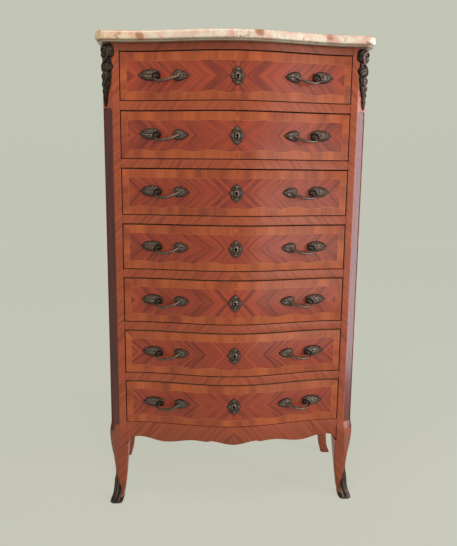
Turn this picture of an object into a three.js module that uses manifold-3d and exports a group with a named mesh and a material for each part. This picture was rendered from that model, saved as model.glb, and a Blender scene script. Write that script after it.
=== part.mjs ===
// Semainier: a tall chest of seven equal drawers, with a serpentine front, canted front corners,
// cabriole legs, a moulded marble top, and cast bronze pulls, key plates, corner mounts and shoes.
// Millimetres, +Z up. The front faces -Y and the origin lies on the floor, below the middle.

import * as THREE from 'three';
import { mergeVertices } from 'three/addons/utils/BufferGeometryUtils.js';
import Module from 'manifold-3d';

const wasm = await Module();
wasm.setup();

// Case. The depth runs from the flat of the front stiles to the back.
const caseWidth = 700;
const caseDepth = 312;
const postWidth = 46.5;
const frontSwell = 46.5;
const drawerCount = 7;
const openingHeight = 123.9;
const dividerHeight = 23.5;
const topRailHeight = 19.4;
const baseHeight = 249.5;
const sidePanelThickness = 18;
const backPanelThickness = 12;
const backPanelFoot = 214;

// Front posts, with a cant across the outer corner and a sunk panel in the cant
const postDepth = 50;
const cantWidth = 28;
const cantDepth = 27;
const cantRecess = 2.4;
const cantRecessFoot = 228;
const cantRecessRun = 14;
const cantRecessLipShare = 0.06;

// Rear posts
const rearPostWidth = 40;
const rearPostDepth = 44;
const rearArris = 6;

// Legs. The sweep scales how far a leg swings out and in, and each row of the table gives the
// height on the leg, then the swing, the drawing in across and in depth, the cant and the rounding.
const legHeight = 240;
const legSweep = 16;
const legRound = 7;
const shoulderStep = 1;
const legShares = [
  [0, 0.3, 0.4, 0.42, 0.32, 1.6],
  [0.05, 0.02, 0.32, 0.42, 0.32, 1.45],
  [0.12, -0.33, 0.21, 0.43, 0.33, 1.25],
  [0.25, -0.52, 0.11, 0.42, 0.34, 1.1],
  [0.35, -0.62, 0.05, 0.4, 0.35, 1],
  [0.42, -0.58, 0.02, 0.36, 0.38, 0.95],
  [0.54, -0.38, -0.03, 0.24, 0.48, 0.8],
  [0.67, -0.04, -0.07, 0.1, 0.72, 0.6],
  [0.79, 0.2, -0.1, 0.02, 0.93, 0.4],
  [0.9, 0.24, -0.1, 0, 1, 0.3],
  [1, 0, -0.1, 0, 1, 0.2],
];

// Apron: its depth at the legs, and how much of it is left along the half width and the side
const apronDrop = 63;
const apronThickness = 22;
const apronEdgeShares = [
  [0, 0.841],
  [0.217, 0.691],
  [0.237, 0.734],
  [0.356, 0.701],
  [0.64, 0.881],
  [0.883, 0.685],
  [0.945, 0.715],
  [0.98, 0.84],
  [1, 1],
];
const sideEdgeShares = [
  [0, 1],
  [0.13, 0.74],
  [0.5, 0.95],
  [0.87, 0.74],
  [1, 1],
];

// Front rails and the boards that the drawers run on
const railDepth = 32;
const boardThickness = 8;
const guideHeight = 20;
const stopWidth = 24;
const stopDepth = 12;
const stopHeight = 5;
const stopPlaceShare = 0.72;

// Marble top: how far it stands over the case, and its edge as inset and height from the underside
const marbleThickness = 26.3;
const frontOverhang = 19.5;
const sideOverhang = 13;
const backOverhang = 2;
const marbleCant = 17;
const marbleEdgeDepth = 8;
const marbleEdgeShares = [
  [0.62, 0],
  [0.56, 0.09],
  [0.9, 0.11],
  [0.86, 0.16],
  [0.34, 0.19],
  [0.08, 0.25],
  [0, 0.36],
  [0, 0.74],
  [0.22, 0.9],
  [0.7, 1],
];

// Drawers
const drawerSideGap = 1.5;
const drawerTopGap = 2.3;
const drawerFloorGap = 1.2;
const drawerBackGap = 8;
const drawerFrontThickness = 20;
const drawerBoxInset = 1;
const drawerSideThickness = 10;
const drawerSideHeight = 105;
const drawerBottomLift = 8;
const drawerBottomThickness = 6;

// Drawer locks. The bolt rises out of the drawer's top edge into the rail above it.
const lockWidth = 55;
const lockThickness = 9;
const lockFoot = 18;
const boltWidth = 16;
const boltThickness = 4;
const boltLength = 28;
const boltSink = 0.6;
const boltTravel = 7;
const mortiseClearance = 1.2;
const mortiseHeadroom = 1;
const keyholeRadius = 2.6;
const keyholeSlotWidth = 2.8;
const keyholeSlotLength = 8;
const keyholeDepth = 25;

// Key plates: a lobed diamond, as wide and tall as the plate, in rings of size and rise. Its middle
// lies below the keyhole's round.
const keyPlateWidth = 40;
const keyPlateHeight = 49;
const keyPlateDrop = 0.5;
const keyPlateRise = 4;
const keyPlatePower = 1.6;
const keyPlateLobes = 8;
const keyPlateLobeShare = 0.03;
const keyPlateRingShares = [
  [1, 0.4],
  [0.6, 1],
];

// Pulls: two leaves on the drawer front, joined by a sinuous bar that stands off it
const pullInset = 114;
const outerLeafLength = 61;
const outerLeafHeight = 32;
const innerLeafLength = 42;
const innerLeafHeight = 30;
const leafGap = 28;
const leafRise = 7;
const leafLobes = 3;
const leafLobeShare = 0.06;
const leafRingShares = [
  [0.96, 0.35],
  [0.5, 1],
];

// The bar of a pull: its radius, and its way as shares of half the pull's length, sag and reach
const barRadius = 3.4;
const barReach = 19;
const barSag = 15;
const barShares = [
  [-0.615, 0, 0.2],
  [-0.44, 0.36, 0.66],
  [-0.22, 0.8, 0.96],
  [0.01, 1, 1],
  [0.25, 0.96, 0.94],
  [0.43, 0.55, 0.8],
  [0.44, -0.05, 0.66],
  [0.37, -0.4, 0.2],
];

// Corner mounts: rows of height, width, thickness and place across the cant from the tail to the head
const cornerMountHeight = 156.8;
const cornerMountWidth = 44;
const cornerMountThickness = 13;
const cornerMountHeadroom = 0.4;
const cornerMountFootroom = 3;
const cornerMountShares = [
  [0, 0.08, 0.2, 0.18],
  [0.13, 0.32, 0.31, 0.16],
  [0.28, 0.5, 0.42, 0.12],
  [0.34, 0.6, 0.5, 0.1],
  [0.46, 0.74, 0.69, 0.04],
  [0.59, 0.9, 0.85, -0.03],
  [0.73, 0.72, 0.54, -0.07],
  [0.83, 0.98, 1, -0.08],
  [0.95, 0.94, 0.92, -0.08],
  [1, 0.46, 0.46, -0.07],
];

// Bronze shoes on the front feet: a cup round the toe, with a leaf up the outer corner
const shoeWall = 2;
const shoeSole = 3;
const shoeCupHeight = 15;
const shoeLeafHeight = 93;
const shoeLeafShares = [
  [1, 0.16],
  [0.62, 0.3],
  [0.4, 0.52],
  [0.24, 0.74],
  [0.04, 1],
];

// Fits and the fineness of curved faces
const seatGap = 0.3;
const overrun = 2;
const frontSteps = 20;
const apronSteps = 38;
const legSteps = 12;
const sideSteps = 14;
const leafSteps = 12;
const keyPlateSteps = 16;
const barSteps = 8;
const barSides = 5;
const mountSteps = 16;
const mountSides = 6;

// Worked out from the sizes above
const caseHalf = caseWidth / 2;
const openingHalf = caseHalf - postWidth;
const pullCentre = openingHalf - pullInset;
const topDepth = frontOverhang + frontSwell + caseDepth + backOverhang;
const stileY = frontOverhang + frontSwell - topDepth / 2;
const caseBackY = stileY + caseDepth;
const drawerPitch = openingHeight + dividerHeight;
const caseTop = baseHeight + drawerCount * openingHeight + (drawerCount - 1) * dividerHeight + topRailHeight;
const apronFoot = baseHeight - apronDrop;
const shoulder = apronFoot - seatGap;
const panelInnerX = caseHalf - sidePanelThickness;
const rearPostInnerX = caseHalf - rearPostWidth;
const rearPostFrontY = caseBackY - rearPostDepth;
const backPanelFrontY = caseBackY - backPanelThickness;
const drawerHalf = openingHalf - drawerSideGap;
const drawerFrontHeight = openingHeight - drawerTopGap - drawerFloorGap;
const drawerFrontTop = openingHeight - drawerTopGap;
const keyholeHeight = drawerFloorGap + drawerFrontHeight / 2;
const boltY = stileY - frontSwell + drawerFrontThickness + lockThickness / 2;
const cornerMountFoot = caseTop - cornerMountHeadroom - cornerMountHeight;
const cantRecessHead = cornerMountFoot - cornerMountFootroom;

// How far the serpentine front stands before the stiles, at a distance from the middle
function swellAt(x) {
  const share = Math.min(Math.abs(x) / openingHalf, 1);
  return (frontSwell * (1 + Math.cos(Math.PI * share))) / 2;
}

// The line of the front in plan from left to right, set back by a distance
function frontLine(half, setback) {
  const points = [];
  for (let step = 0; step <= frontSteps; step += 1) {
    const x = half * ((2 * step) / frontSteps - 1);
    points.push(new THREE.Vector2(x, stileY - swellAt(x) + setback));
  }
  return points;
}

// Places spread evenly from one height to another, both ends included
function levels(from, to, steps) {
  return Array.from({ length: steps + 1 }, (unused, step) => from + ((to - from) * step) / steps);
}

// A smooth curve through rows of shares, read at a place that the rows' first values measure
function smoothAt(rows, place) {
  const lastSpan = rows.length - 2;
  let span = 0;
  while (span < lastSpan && rows[span + 1][0] < place) {
    span += 1;
  }
  const slopeAt = (row, column) => {
    const before = rows[Math.max(row - 1, 0)];
    const after = rows[Math.min(row + 1, rows.length - 1)];
    return (after[column] - before[column]) / (after[0] - before[0]);
  };
  const start = rows[span];
  const end = rows[span + 1];
  const width = end[0] - start[0];
  const t = THREE.MathUtils.clamp((place - start[0]) / width, 0, 1);
  return start.slice(1).map((value, index) => {
    const column = index + 1;
    const startPart = value * (1 + 2 * t) * (1 - t) ** 2 + width * slopeAt(span, column) * t * (1 - t) ** 2;
    const endPart = end[column] * t * t * (3 - 2 * t) + width * slopeAt(span + 1, column) * t * t * (t - 1);
    return startPart + endPart;
  });
}

// A wavy edge: rows of place and depth with a half cosine between each two
function wavyAt(rows, place) {
  const last = rows.length - 1;
  const next = Math.max(rows.findIndex((row) => row[0] >= place), 1);
  const end = rows[place > rows[last][0] ? last : next];
  const start = rows[place > rows[last][0] ? last - 1 : next - 1];
  const t = THREE.MathUtils.clamp((place - start[0]) / (end[0] - start[0]), 0, 1);
  return start[1] + ((end[1] - start[1]) * (1 - Math.cos(Math.PI * t))) / 2;
}

// Corner numbers with the faces turned outward
function facingOut(positions, corners) {
  const a = new THREE.Vector3();
  const b = new THREE.Vector3();
  const c = new THREE.Vector3();
  let volume = 0;
  for (let index = 0; index < corners.length; index += 3) {
    a.fromArray(positions, corners[index] * 3);
    b.fromArray(positions, corners[index + 1] * 3);
    c.fromArray(positions, corners[index + 2] * 3);
    volume += a.dot(b.cross(c));
  }
  if (volume > 0) {
    return corners;
  }
  return corners.map((unused, index) => corners[index - (index % 3) + [0, 2, 1][index % 3]]);
}

// A solid that can be joined and cut, from a closed geometry
function solid(geometry) {
  geometry.deleteAttribute('normal');
  geometry.deleteAttribute('uv');
  const merged = mergeVertices(geometry);
  const positions = merged.attributes.position.array;
  const corners = facingOut(positions, Array.from(merged.index.array));
  return new wasm.Manifold(
    new wasm.Mesh({
      numProp: 3,
      vertProperties: new Float32Array(positions),
      triVerts: new Uint32Array(corners),
    }),
  );
}

// The geometry of a finished solid
function geometryOf(manifold) {
  const mesh = manifold.getMesh();
  const geometry = new THREE.BufferGeometry();
  geometry.setAttribute('position', new THREE.BufferAttribute(mesh.vertProperties, 3));
  geometry.setIndex(new THREE.BufferAttribute(mesh.triVerts, 1));
  geometry.computeVertexNormals();
  return geometry;
}

// A plan outline raised from one height to another
function upright(outline, from, to) {
  const geometry = new THREE.ExtrudeGeometry(new THREE.Shape(outline), {
    depth: to - from,
    bevelEnabled: false,
  });
  geometry.translate(0, 0, from);
  return solid(geometry);
}

// A block between two corners
function block(low, high) {
  const size = high.clone().sub(low);
  const middle = low.clone().add(high).multiplyScalar(0.5);
  const geometry = new THREE.BoxGeometry(size.x, size.y, size.z);
  geometry.translate(middle.x, middle.y, middle.z);
  return solid(geometry);
}

// The triangles that close a flat ring, seen along the axis that it faces most
function capOf(ring) {
  const normal = new THREE.Vector3();
  ring.forEach((point, index) => {
    const next = ring[(index + 1) % ring.length];
    normal.add(point.clone().cross(next));
  });
  const flat = ring.map((point) => {
    if (Math.abs(normal.x) > Math.abs(normal.y) && Math.abs(normal.x) > Math.abs(normal.z)) {
      return new THREE.Vector2(point.y, point.z);
    }
    if (Math.abs(normal.y) > Math.abs(normal.z)) {
      return new THREE.Vector2(point.z, point.x);
    }
    return new THREE.Vector2(point.x, point.y);
  });
  const turned = THREE.ShapeUtils.isClockWise(flat);
  const triangles = THREE.ShapeUtils.triangulateShape(turned ? flat.slice().reverse() : flat, []);
  const last = ring.length - 1;
  return triangles.map((triangle) => (turned ? triangle.map((corner) => last - corner).reverse() : triangle));
}

// A closed skin over rings of points, all with the same count
function loftGeometry(rings) {
  const count = rings[0].length;
  const positions = rings.flat().flatMap((point) => [point.x, point.y, point.z]);
  const corners = [];
  for (let level = 0; level + 1 < rings.length; level += 1) {
    for (let index = 0; index < count; index += 1) {
      const next = (index + 1) % count;
      const low = level * count;
      const high = low + count;
      corners.push(low + index, low + next, high + next);
      corners.push(low + index, high + next, high + index);
    }
  }
  const start = (rings.length - 1) * count;
  capOf(rings[0]).forEach((cap) => corners.push(...cap.reverse()));
  capOf(rings[rings.length - 1]).forEach((cap) => corners.push(...cap.map((corner) => corner + start)));
  const geometry = new THREE.BufferGeometry();
  geometry.setAttribute('position', new THREE.Float32BufferAttribute(positions, 3));
  geometry.setIndex(corners);
  return geometry;
}

// A solid over rings of points
function loft(rings) {
  return solid(loftGeometry(rings));
}

// How deep the sunk panel of the cant is at a height, with a rounded run at both its ends
function recessAt(height) {
  const rise = Math.min(height - cantRecessFoot, cantRecessHead - height) / cantRecessRun;
  return cantRecess * Math.sin((THREE.MathUtils.clamp(rise, 0, 1) * Math.PI) / 2);
}

const frontPost = {
  outer: caseHalf,
  inner: openingHalf,
  front: stileY,
  back: stileY + postDepth,
  cantWidth,
  cantDepth,
  forward: true,
  sunk: true,
};

const rearPost = {
  outer: caseHalf,
  inner: rearPostInnerX,
  front: rearPostFrontY,
  back: caseBackY,
  cantWidth: rearArris,
  cantDepth: rearArris,
  forward: false,
  sunk: false,
};

// The section of a post and its leg at a height. Below the shoulder the inner faces draw in.
function postRing(post, side, height, growth) {
  const share = Math.min(height / legHeight, 1);
  const [sweepShare, drawnShare, depthShare, cantShare, roundShare] = smoothAt(legShares, share);
  const drawn = height < shoulder ? drawnShare : 0;
  const drawnDepth = height < shoulder ? depthShare : 0;
  const round = legRound * roundShare;
  const swing = legSweep * sweepShare;
  const outer = post.outer + swing + growth;
  const inner = post.inner + drawn * (post.outer - post.inner) - growth;
  const depth = post.back - post.front;
  const front = (post.forward ? post.front - swing : post.front + drawnDepth * depth) - growth;
  const back = (post.forward ? post.back - drawnDepth * depth : post.back) + growth;
  const start = new THREE.Vector2(outer - post.cantWidth * cantShare, front);
  const end = new THREE.Vector2(outer, front + post.cantDepth * cantShare);
  const run = end.clone().sub(start);
  const inward = new THREE.Vector2(-run.y, run.x).normalize().multiplyScalar(post.sunk ? recessAt(height) : 0);
  const lip = run.clone().multiplyScalar(cantRecessLipShare);
  const section = [
    new THREE.Vector2(inner, front + round),
    new THREE.Vector2(inner + round, front),
    start,
    start.clone().add(lip).add(inward),
    end.clone().sub(lip).add(inward),
    end,
    new THREE.Vector2(outer, back - round),
    new THREE.Vector2(outer - round, back),
    new THREE.Vector2(inner + round, back),
    new THREE.Vector2(inner, back - round),
  ];
  return section.map((point) => new THREE.Vector3(side * point.x, point.y, height));
}

// The heights at which a post is drawn, from its foot to the top of the case
function postLevels(foot, sunk) {
  const legLevels = levels(foot, shoulder - shoulderStep, legSteps);
  const kneeLevels = [shoulder, (shoulder + cantRecessFoot) / 2];
  const runs = [0, cantRecessRun / 2, cantRecessRun];
  const sunkLevels = runs.map((run) => cantRecessFoot + run).concat(runs.map((run) => cantRecessHead - run));
  const upper = sunk ? sunkLevels.concat([caseTop]) : [(cantRecessFoot + legHeight) / 2, legHeight, caseTop];
  return legLevels.concat(kneeLevels, upper).sort((low, high) => low - high);
}

// Front post: stile, cant and cabriole leg in one length of wood. Its toe stands in the shoe.
function frontPostSolid(side) {
  const rings = postLevels(shoeSole + seatGap, true).map((height) => postRing(frontPost, side, height, 0));
  return loft(rings);
}

// Side of the case: a panel with a shaped lower edge, in one with the rear post and its leg
function sideSolid(side) {
  const from = stileY + postDepth + seatGap;
  const to = rearPostFrontY;
  const edge = levels(0, 1, sideSteps).map((share) => {
    const drop = apronDrop * wavyAt(sideEdgeShares, share);
    return new THREE.Vector2(from + (to - from) * share, baseHeight - drop);
  });
  const middle = (rearPostFrontY + caseBackY) / 2;
  const outline = edge.concat([
    new THREE.Vector2(middle, apronFoot),
    new THREE.Vector2(middle, caseTop),
    new THREE.Vector2(from, caseTop),
  ]);
  const geometry = new THREE.ExtrudeGeometry(new THREE.Shape(outline), {
    depth: sidePanelThickness,
    bevelEnabled: false,
  });
  const across = new THREE.Vector3(1, 0, 0);
  const back = new THREE.Vector3(0, 1, 0);
  const up = new THREE.Vector3(0, 0, 1);
  geometry.applyMatrix4(new THREE.Matrix4().makeBasis(back, up, across));
  geometry.translate(side > 0 ? panelInnerX : -caseHalf, 0, 0);
  const post = loft(postLevels(0, false).map((height) => postRing(rearPost, side, height, 0)));
  return solid(geometry).add(post);
}

// Back of the case, let in between the rear posts
function backSolid() {
  const half = rearPostInnerX - seatGap;
  return block(
    new THREE.Vector3(-half, backPanelFrontY, backPanelFoot),
    new THREE.Vector3(half, caseBackY, caseTop),
  );
}

// Plan of the board under a drawer. It fills the case behind the front rail, round the posts.
function boardOutline() {
  const half = openingHalf - seatGap;
  const wide = panelInnerX - seatGap;
  const rear = rearPostInnerX - seatGap;
  const postBack = stileY + postDepth + seatGap;
  const rearFront = rearPostFrontY - seatGap;
  const back = backPanelFrontY - seatGap;
  const rightSide = [
    [half, postBack],
    [wide, postBack],
    [wide, rearFront],
    [rear, rearFront],
    [rear, back],
  ];
  const right = rightSide.map(([x, y]) => new THREE.Vector2(x, y));
  const left = rightSide.map(([x, y]) => new THREE.Vector2(-x, y)).reverse();
  return frontLine(half, railDepth / 2).concat(right, left);
}

// Drawer guides along both sides of a board, and the two stops behind the drawer front
function guidesAndStops(top) {
  const parts = [];
  for (const side of [-1, 1]) {
    const edges = [side * openingHalf, side * (panelInnerX - seatGap)].sort((low, high) => low - high);
    parts.push(
      block(
        new THREE.Vector3(edges[0], stileY + postDepth + seatGap, top - boardThickness),
        new THREE.Vector3(edges[1], rearPostFrontY - seatGap, top + guideHeight),
      ),
    );
    const stopX = openingHalf * stopPlaceShare;
    const stopY = stileY - swellAt(stopX + stopWidth / 2) + drawerFrontThickness + seatGap;
    parts.push(
      block(
        new THREE.Vector3(side * stopX - stopWidth / 2, stopY, top - boardThickness),
        new THREE.Vector3(side * stopX + stopWidth / 2, stopY + stopDepth, top + stopHeight),
      ),
    );
  }
  return parts;
}

// Serpentine front rail between two heights
function railSolid(from, to) {
  const half = openingHalf - seatGap;
  const outline = frontLine(half, 0).concat(frontLine(half, railDepth).reverse());
  return upright(outline, from, to);
}

// The pocket that a bolt rises into, in the underside of a rail
function mortise(underside) {
  const halfWidth = boltWidth / 2 + mortiseClearance;
  const halfThickness = boltThickness / 2 + mortiseClearance;
  return block(
    new THREE.Vector3(-halfWidth, boltY - halfThickness, underside - overrun),
    new THREE.Vector3(halfWidth, boltY + halfThickness, underside + boltTravel + mortiseHeadroom),
  );
}

// Divider between two drawers: front rail, board, guides, stops and the mortise for the bolt below
function dividerSolid(top) {
  const underside = top - dividerHeight;
  const board = upright(boardOutline(), top - boardThickness, top);
  const whole = guidesAndStops(top).reduce((sum, part) => sum.add(part), railSolid(underside, top).add(board));
  return whole.subtract(mortise(underside));
}

// Top rail with the board that lies under the marble
function topRailSolid() {
  const underside = caseTop - topRailHeight;
  const board = upright(boardOutline(), caseTop - boardThickness, caseTop);
  return railSolid(underside, caseTop).add(board).subtract(mortise(underside));
}

// Apron: the serpentine rail below the drawers with its shaped lower edge, and the lowest board
function apronSolid() {
  const half = openingHalf - seatGap;
  const rings = levels(-half, half, apronSteps).map((x) => {
    const front = stileY - swellAt(x);
    const edge = baseHeight - apronDrop * wavyAt(apronEdgeShares, Math.abs(x) / openingHalf);
    return [
      new THREE.Vector3(x, front, baseHeight),
      new THREE.Vector3(x, front, edge),
      new THREE.Vector3(x, front + apronThickness, edge),
      new THREE.Vector3(x, front + apronThickness, baseHeight),
    ];
  });
  const board = upright(boardOutline(), baseHeight - boardThickness, baseHeight);
  return guidesAndStops(baseHeight).reduce((sum, part) => sum.add(part), loft(rings).add(board));
}

// The marble's outline in plan, drawn in by an inset all round but at the back
function marbleRing(inset, height) {
  const half = caseHalf + sideOverhang - inset;
  const frontY = stileY - frontOverhang + inset;
  const turn = marbleCant + inset * (Math.SQRT2 - 1);
  const mitre = half - turn + inset;
  const front = frontLine(openingHalf, inset - frontOverhang);
  const right = [
    [mitre, frontY],
    [half, frontY + turn - inset],
    [half, topDepth / 2],
  ];
  const outline = [
    ...right.map(([x, y]) => [-x, y]).reverse(),
    ...front.map((point) => [point.x, point.y]),
    ...right,
  ];
  return outline.map(([x, y]) => new THREE.Vector3(x, y, height));
}

// Marble top with its moulded edge
function marbleSolid() {
  const underside = caseTop + seatGap;
  const thickness = marbleThickness;
  const rings = marbleEdgeShares.map(([insetShare, heightShare]) =>
    marbleRing(marbleEdgeDepth * insetShare, underside + thickness * heightShare),
  );
  return loft(rings);
}

// Corner mount: a cast drop of scrolls that narrows to a tail. It is seated on the cant, and where it
// is wider than the cant it turns back round the corner onto the stile.
function cornerMountSolid(side) {
  const start = new THREE.Vector2(caseHalf - cantWidth, stileY);
  const end = new THREE.Vector2(caseHalf, stileY + cantDepth);
  const along = end.clone().sub(start).normalize();
  const outward = new THREE.Vector2(along.y, -along.x);
  const middle = start.clone().add(end).multiplyScalar(0.5);
  const cantHalf = start.distanceTo(end) / 2;
  const wood = [cornerMountFoot - overrun, caseTop + overrun].map((height) => {
    return postRing(frontPost, side, height, seatGap);
  });
  const rings = levels(0, 1, mountSteps).map((share) => {
    const [widthShare, thicknessShare, placeShare] = smoothAt(cornerMountShares, share);
    const halfWidth = (cornerMountWidth / 2) * widthShare;
    const centre = cornerMountWidth * placeShare;
    const thickness = cornerMountThickness * thicknessShare;
    const arc = levels(0, Math.PI, mountSides).map((angle) => {
      return [centre + halfWidth * Math.cos(angle), thickness * Math.sin(angle)];
    });
    const base = [centre - halfWidth, centre + halfWidth].map((across) => [across, -overrun]);
    return arc.concat(base).map(([across, rise]) => {
      const past = Math.max(-across - cantHalf, 0);
      const point = middle.clone().addScaledVector(along, across);
      point.addScaledVector(outward, rise - (past * cantDepth) / cantWidth);
      return new THREE.Vector3(side * point.x, point.y, cornerMountFoot + cornerMountHeight * share);
    });
  });
  return loft(rings).subtract(loft(wood));
}

// Shoe: a thin cup that follows the foot, with a leaf that climbs the outer corner of the leg
function shoeSolid(side) {
  const outerRings = levels(0, shoeLeafHeight, legSteps / 2).map((height) =>
    postRing(frontPost, side, height, shoeWall + seatGap),
  );
  const innerLevels = levels(shoeSole, shoeLeafHeight + overrun, legSteps / 2);
  const innerRings = innerLevels.map((height) => postRing(frontPost, side, height, seatGap));
  const shell = loft(outerRings).subtract(loft(innerRings));
  const reach = legSweep + postDepth + shoeWall;
  const centre = new THREE.Vector3(side * (caseHalf - postDepth / 2), stileY + postDepth / 2, 0);
  const cup = block(
    centre.clone().add(new THREE.Vector3(-reach, -reach, -overrun)),
    centre.clone().add(new THREE.Vector3(reach, reach, shoeCupHeight)),
  );
  const rightEdge = shoeLeafShares.map(([widthShare, heightShare]) => [
    (postDepth / 2) * widthShare,
    shoeLeafHeight * heightShare,
  ]);
  const leaf = [[postDepth / 2, 0], ...rightEdge, ...rightEdge.map(([u, v]) => [-u, v]).reverse(), [-postDepth / 2, 0]];
  const geometry = new THREE.ExtrudeGeometry(
    new THREE.Shape(leaf.map(([u, v]) => new THREE.Vector2(u, v))),
    { depth: reach, bevelEnabled: false },
  );
  const outward = new THREE.Vector3(side, -1, 0).normalize();
  const up = new THREE.Vector3(0, 0, 1);
  const across = up.clone().cross(outward);
  geometry.applyMatrix4(new THREE.Matrix4().makeBasis(across, up, outward));
  geometry.translate(centre.x, centre.y, 0);
  return shell.intersect(cup.add(solid(geometry)));
}

// Drawer front: a serpentine board with its lock let into the back, and the keyhole
function drawerFrontSolid() {
  const outline = frontLine(drawerHalf, 0).concat(frontLine(drawerHalf, drawerFrontThickness).reverse());
  const board = upright(outline, drawerFloorGap, drawerFrontTop);
  const backY = stileY - frontSwell + drawerFrontThickness;
  const lockCase = block(
    new THREE.Vector3(-lockWidth / 2, backY - overrun, keyholeHeight - lockFoot),
    new THREE.Vector3(lockWidth / 2, backY + lockThickness, drawerFrontTop),
  );
  const slot = block(
    new THREE.Vector3(-boltWidth / 2 - seatGap, boltY - boltThickness / 2 - seatGap, boltFoot() - seatGap),
    new THREE.Vector3(boltWidth / 2 + seatGap, boltY + boltThickness / 2 + seatGap, drawerFrontTop + overrun),
  );
  return board.add(lockCase).subtract(slot).subtract(keyholeCutter());
}

// The lower end of a bolt that is drawn back
function boltFoot() {
  return drawerFrontTop - boltSink - boltLength;
}

// Lock bolt, drawn back into the drawer's top edge
function boltSolid() {
  return block(
    new THREE.Vector3(-boltWidth / 2, boltY - boltThickness / 2, boltFoot()),
    new THREE.Vector3(boltWidth / 2, boltY + boltThickness / 2, drawerFrontTop - boltSink),
  );
}

// The keyhole: a round hole over a slot, from before the key plate into the lock
function keyholeCutter() {
  const halfSlot = keyholeSlotWidth / 2;
  const open = Math.asin(halfSlot / keyholeRadius);
  const shape = new THREE.Shape();
  shape.moveTo(-halfSlot, -keyholeSlotLength);
  shape.lineTo(halfSlot, -keyholeSlotLength);
  shape.absarc(0, 0, keyholeRadius, open - Math.PI / 2, (3 * Math.PI) / 2 - open, false);
  shape.closePath();
  const geometry = new THREE.ExtrudeGeometry(shape, {
    depth: keyholeDepth + keyPlateRise + overrun,
    bevelEnabled: false,
    curveSegments: 8,
  });
  const across = new THREE.Vector3(-1, 0, 0);
  const up = new THREE.Vector3(0, 0, 1);
  const inward = new THREE.Vector3(0, 1, 0);
  geometry.applyMatrix4(new THREE.Matrix4().makeBasis(across, up, inward));
  geometry.translate(0, stileY - frontSwell - keyPlateRise - overrun, keyholeHeight);
  return solid(geometry);
}

// Drawer box: sides, back and bottom. The bottom is lifted, so that the sides run on the board.
function drawerBoxSolid() {
  const half = drawerHalf - drawerBoxInset;
  const innerHalf = half - drawerSideThickness;
  const setback = drawerFrontThickness + seatGap;
  const backY = backPanelFrontY - drawerBackGap;
  const closeAt = (line, y) => {
    const edge = line[line.length - 1].x;
    return line.concat([new THREE.Vector2(edge, y), new THREE.Vector2(-edge, y)]);
  };
  const floor = seatGap + drawerBottomLift;
  const inside = closeAt(frontLine(innerHalf, setback - overrun), backY - drawerSideThickness);
  const under = closeAt(frontLine(innerHalf, setback - overrun), backY + overrun);
  return upright(closeAt(frontLine(half, setback), backY), seatGap, drawerSideHeight)
    .subtract(upright(inside, floor + drawerBottomThickness, drawerSideHeight + overrun))
    .subtract(upright(under, -overrun, floor));
}

// Bends a flat ornament round the front and sets its back on the drawer, with the fitting gap.
// Before it is bent its x is the distance from the middle, y is the rise and z is the height.
function seatOnFront(flat) {
  const geometry = geometryOf(flat);
  const place = geometry.attributes.position;
  for (let index = 0; index < place.count; index += 1) {
    place.setY(index, stileY - swellAt(place.getX(index)) - seatGap - place.getY(index));
  }
  const line = frontLine(openingHalf, -seatGap).concat(frontLine(openingHalf, drawerFrontThickness).reverse());
  return solid(geometry).subtract(upright(line, 0, openingHeight));
}

// Rings of one outline that rise and shrink towards a crown, for a cast boss or leaf
function castRings(outline, ringShares, rise) {
  const ringAt = (size, height) => outline.map(([x, z]) => [x * size, height, z * size]);
  return [ringAt(1, -overrun), ...ringShares.map(([size, riseShare]) => ringAt(size, rise * riseShare))];
}

// Key plate: a lobed diamond with the keyhole through it
function keyPlateSolid() {
  const outline = levels(0, 2 * Math.PI, keyPlateSteps).slice(1).map((angle) => {
    const sum = Math.abs(Math.cos(angle)) ** keyPlatePower + Math.abs(Math.sin(angle)) ** keyPlatePower;
    const lobe = 1 - keyPlateLobeShare * (1 - Math.cos(keyPlateLobes * angle));
    const radius = sum ** (-1 / keyPlatePower) * lobe;
    return [(keyPlateWidth / 2) * radius * Math.cos(angle), (keyPlateHeight / 2) * radius * Math.sin(angle)];
  });
  const rings = castRings(outline, keyPlateRingShares, keyPlateRise).map((ring) =>
    ring.map(([x, y, z]) => new THREE.Vector3(x, y, z + keyholeHeight - keyPlateDrop)),
  );
  return seatOnFront(loft(rings)).subtract(keyholeCutter());
}

// One leaf of a pull, lying flat, with its middle at a distance from the pull's middle. Its tip
// points to the stile or to the middle of the front.
function leafSolid(length, height, middle, point, side) {
  const outline = levels(0, 2 * Math.PI, leafSteps).slice(1).map((angle) => {
    const radius = 1 - leafLobeShare * (1 - Math.cos(leafLobes * angle));
    return [point * (length / 2) * radius * Math.cos(angle), (height / 2) * radius * Math.sin(angle)];
  });
  const rings = castRings(outline, leafRingShares, leafRise).map((ring) =>
    ring.map(([x, y, z]) => new THREE.Vector3(side * (pullCentre + middle + x), y, keyholeHeight + z)),
  );
  return loft(rings);
}

// Pull: a large leaf towards the stile, a small one towards the middle, and the bar between them
function pullSolid(side) {
  const total = outerLeafLength + leafGap + innerLeafLength;
  const outerMiddle = total / 2 - outerLeafLength / 2;
  const innerMiddle = innerLeafLength / 2 - total / 2;
  const points = barShares.map(([along, sag, reach]) => {
    const x = side * (pullCentre + (total / 2) * along);
    return new THREE.Vector3(x, barReach * reach, keyholeHeight - barSag * sag);
  });
  const section = levels(0, 2 * Math.PI, barSides).slice(1).map((angle) => {
    return new THREE.Vector2(barRadius * Math.cos(angle), barRadius * Math.sin(angle));
  });
  const bar = new THREE.ExtrudeGeometry(new THREE.Shape(section), {
    steps: barSteps,
    extrudePath: new THREE.CatmullRomCurve3(points),
    bevelEnabled: false,
  });
  const leaves = leafSolid(outerLeafLength, outerLeafHeight, outerMiddle, 1, side).add(
    leafSolid(innerLeafLength, innerLeafHeight, innerMiddle, -1, side),
  );
  return seatOnFront(leaves.add(solid(bar)));
}

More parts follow.
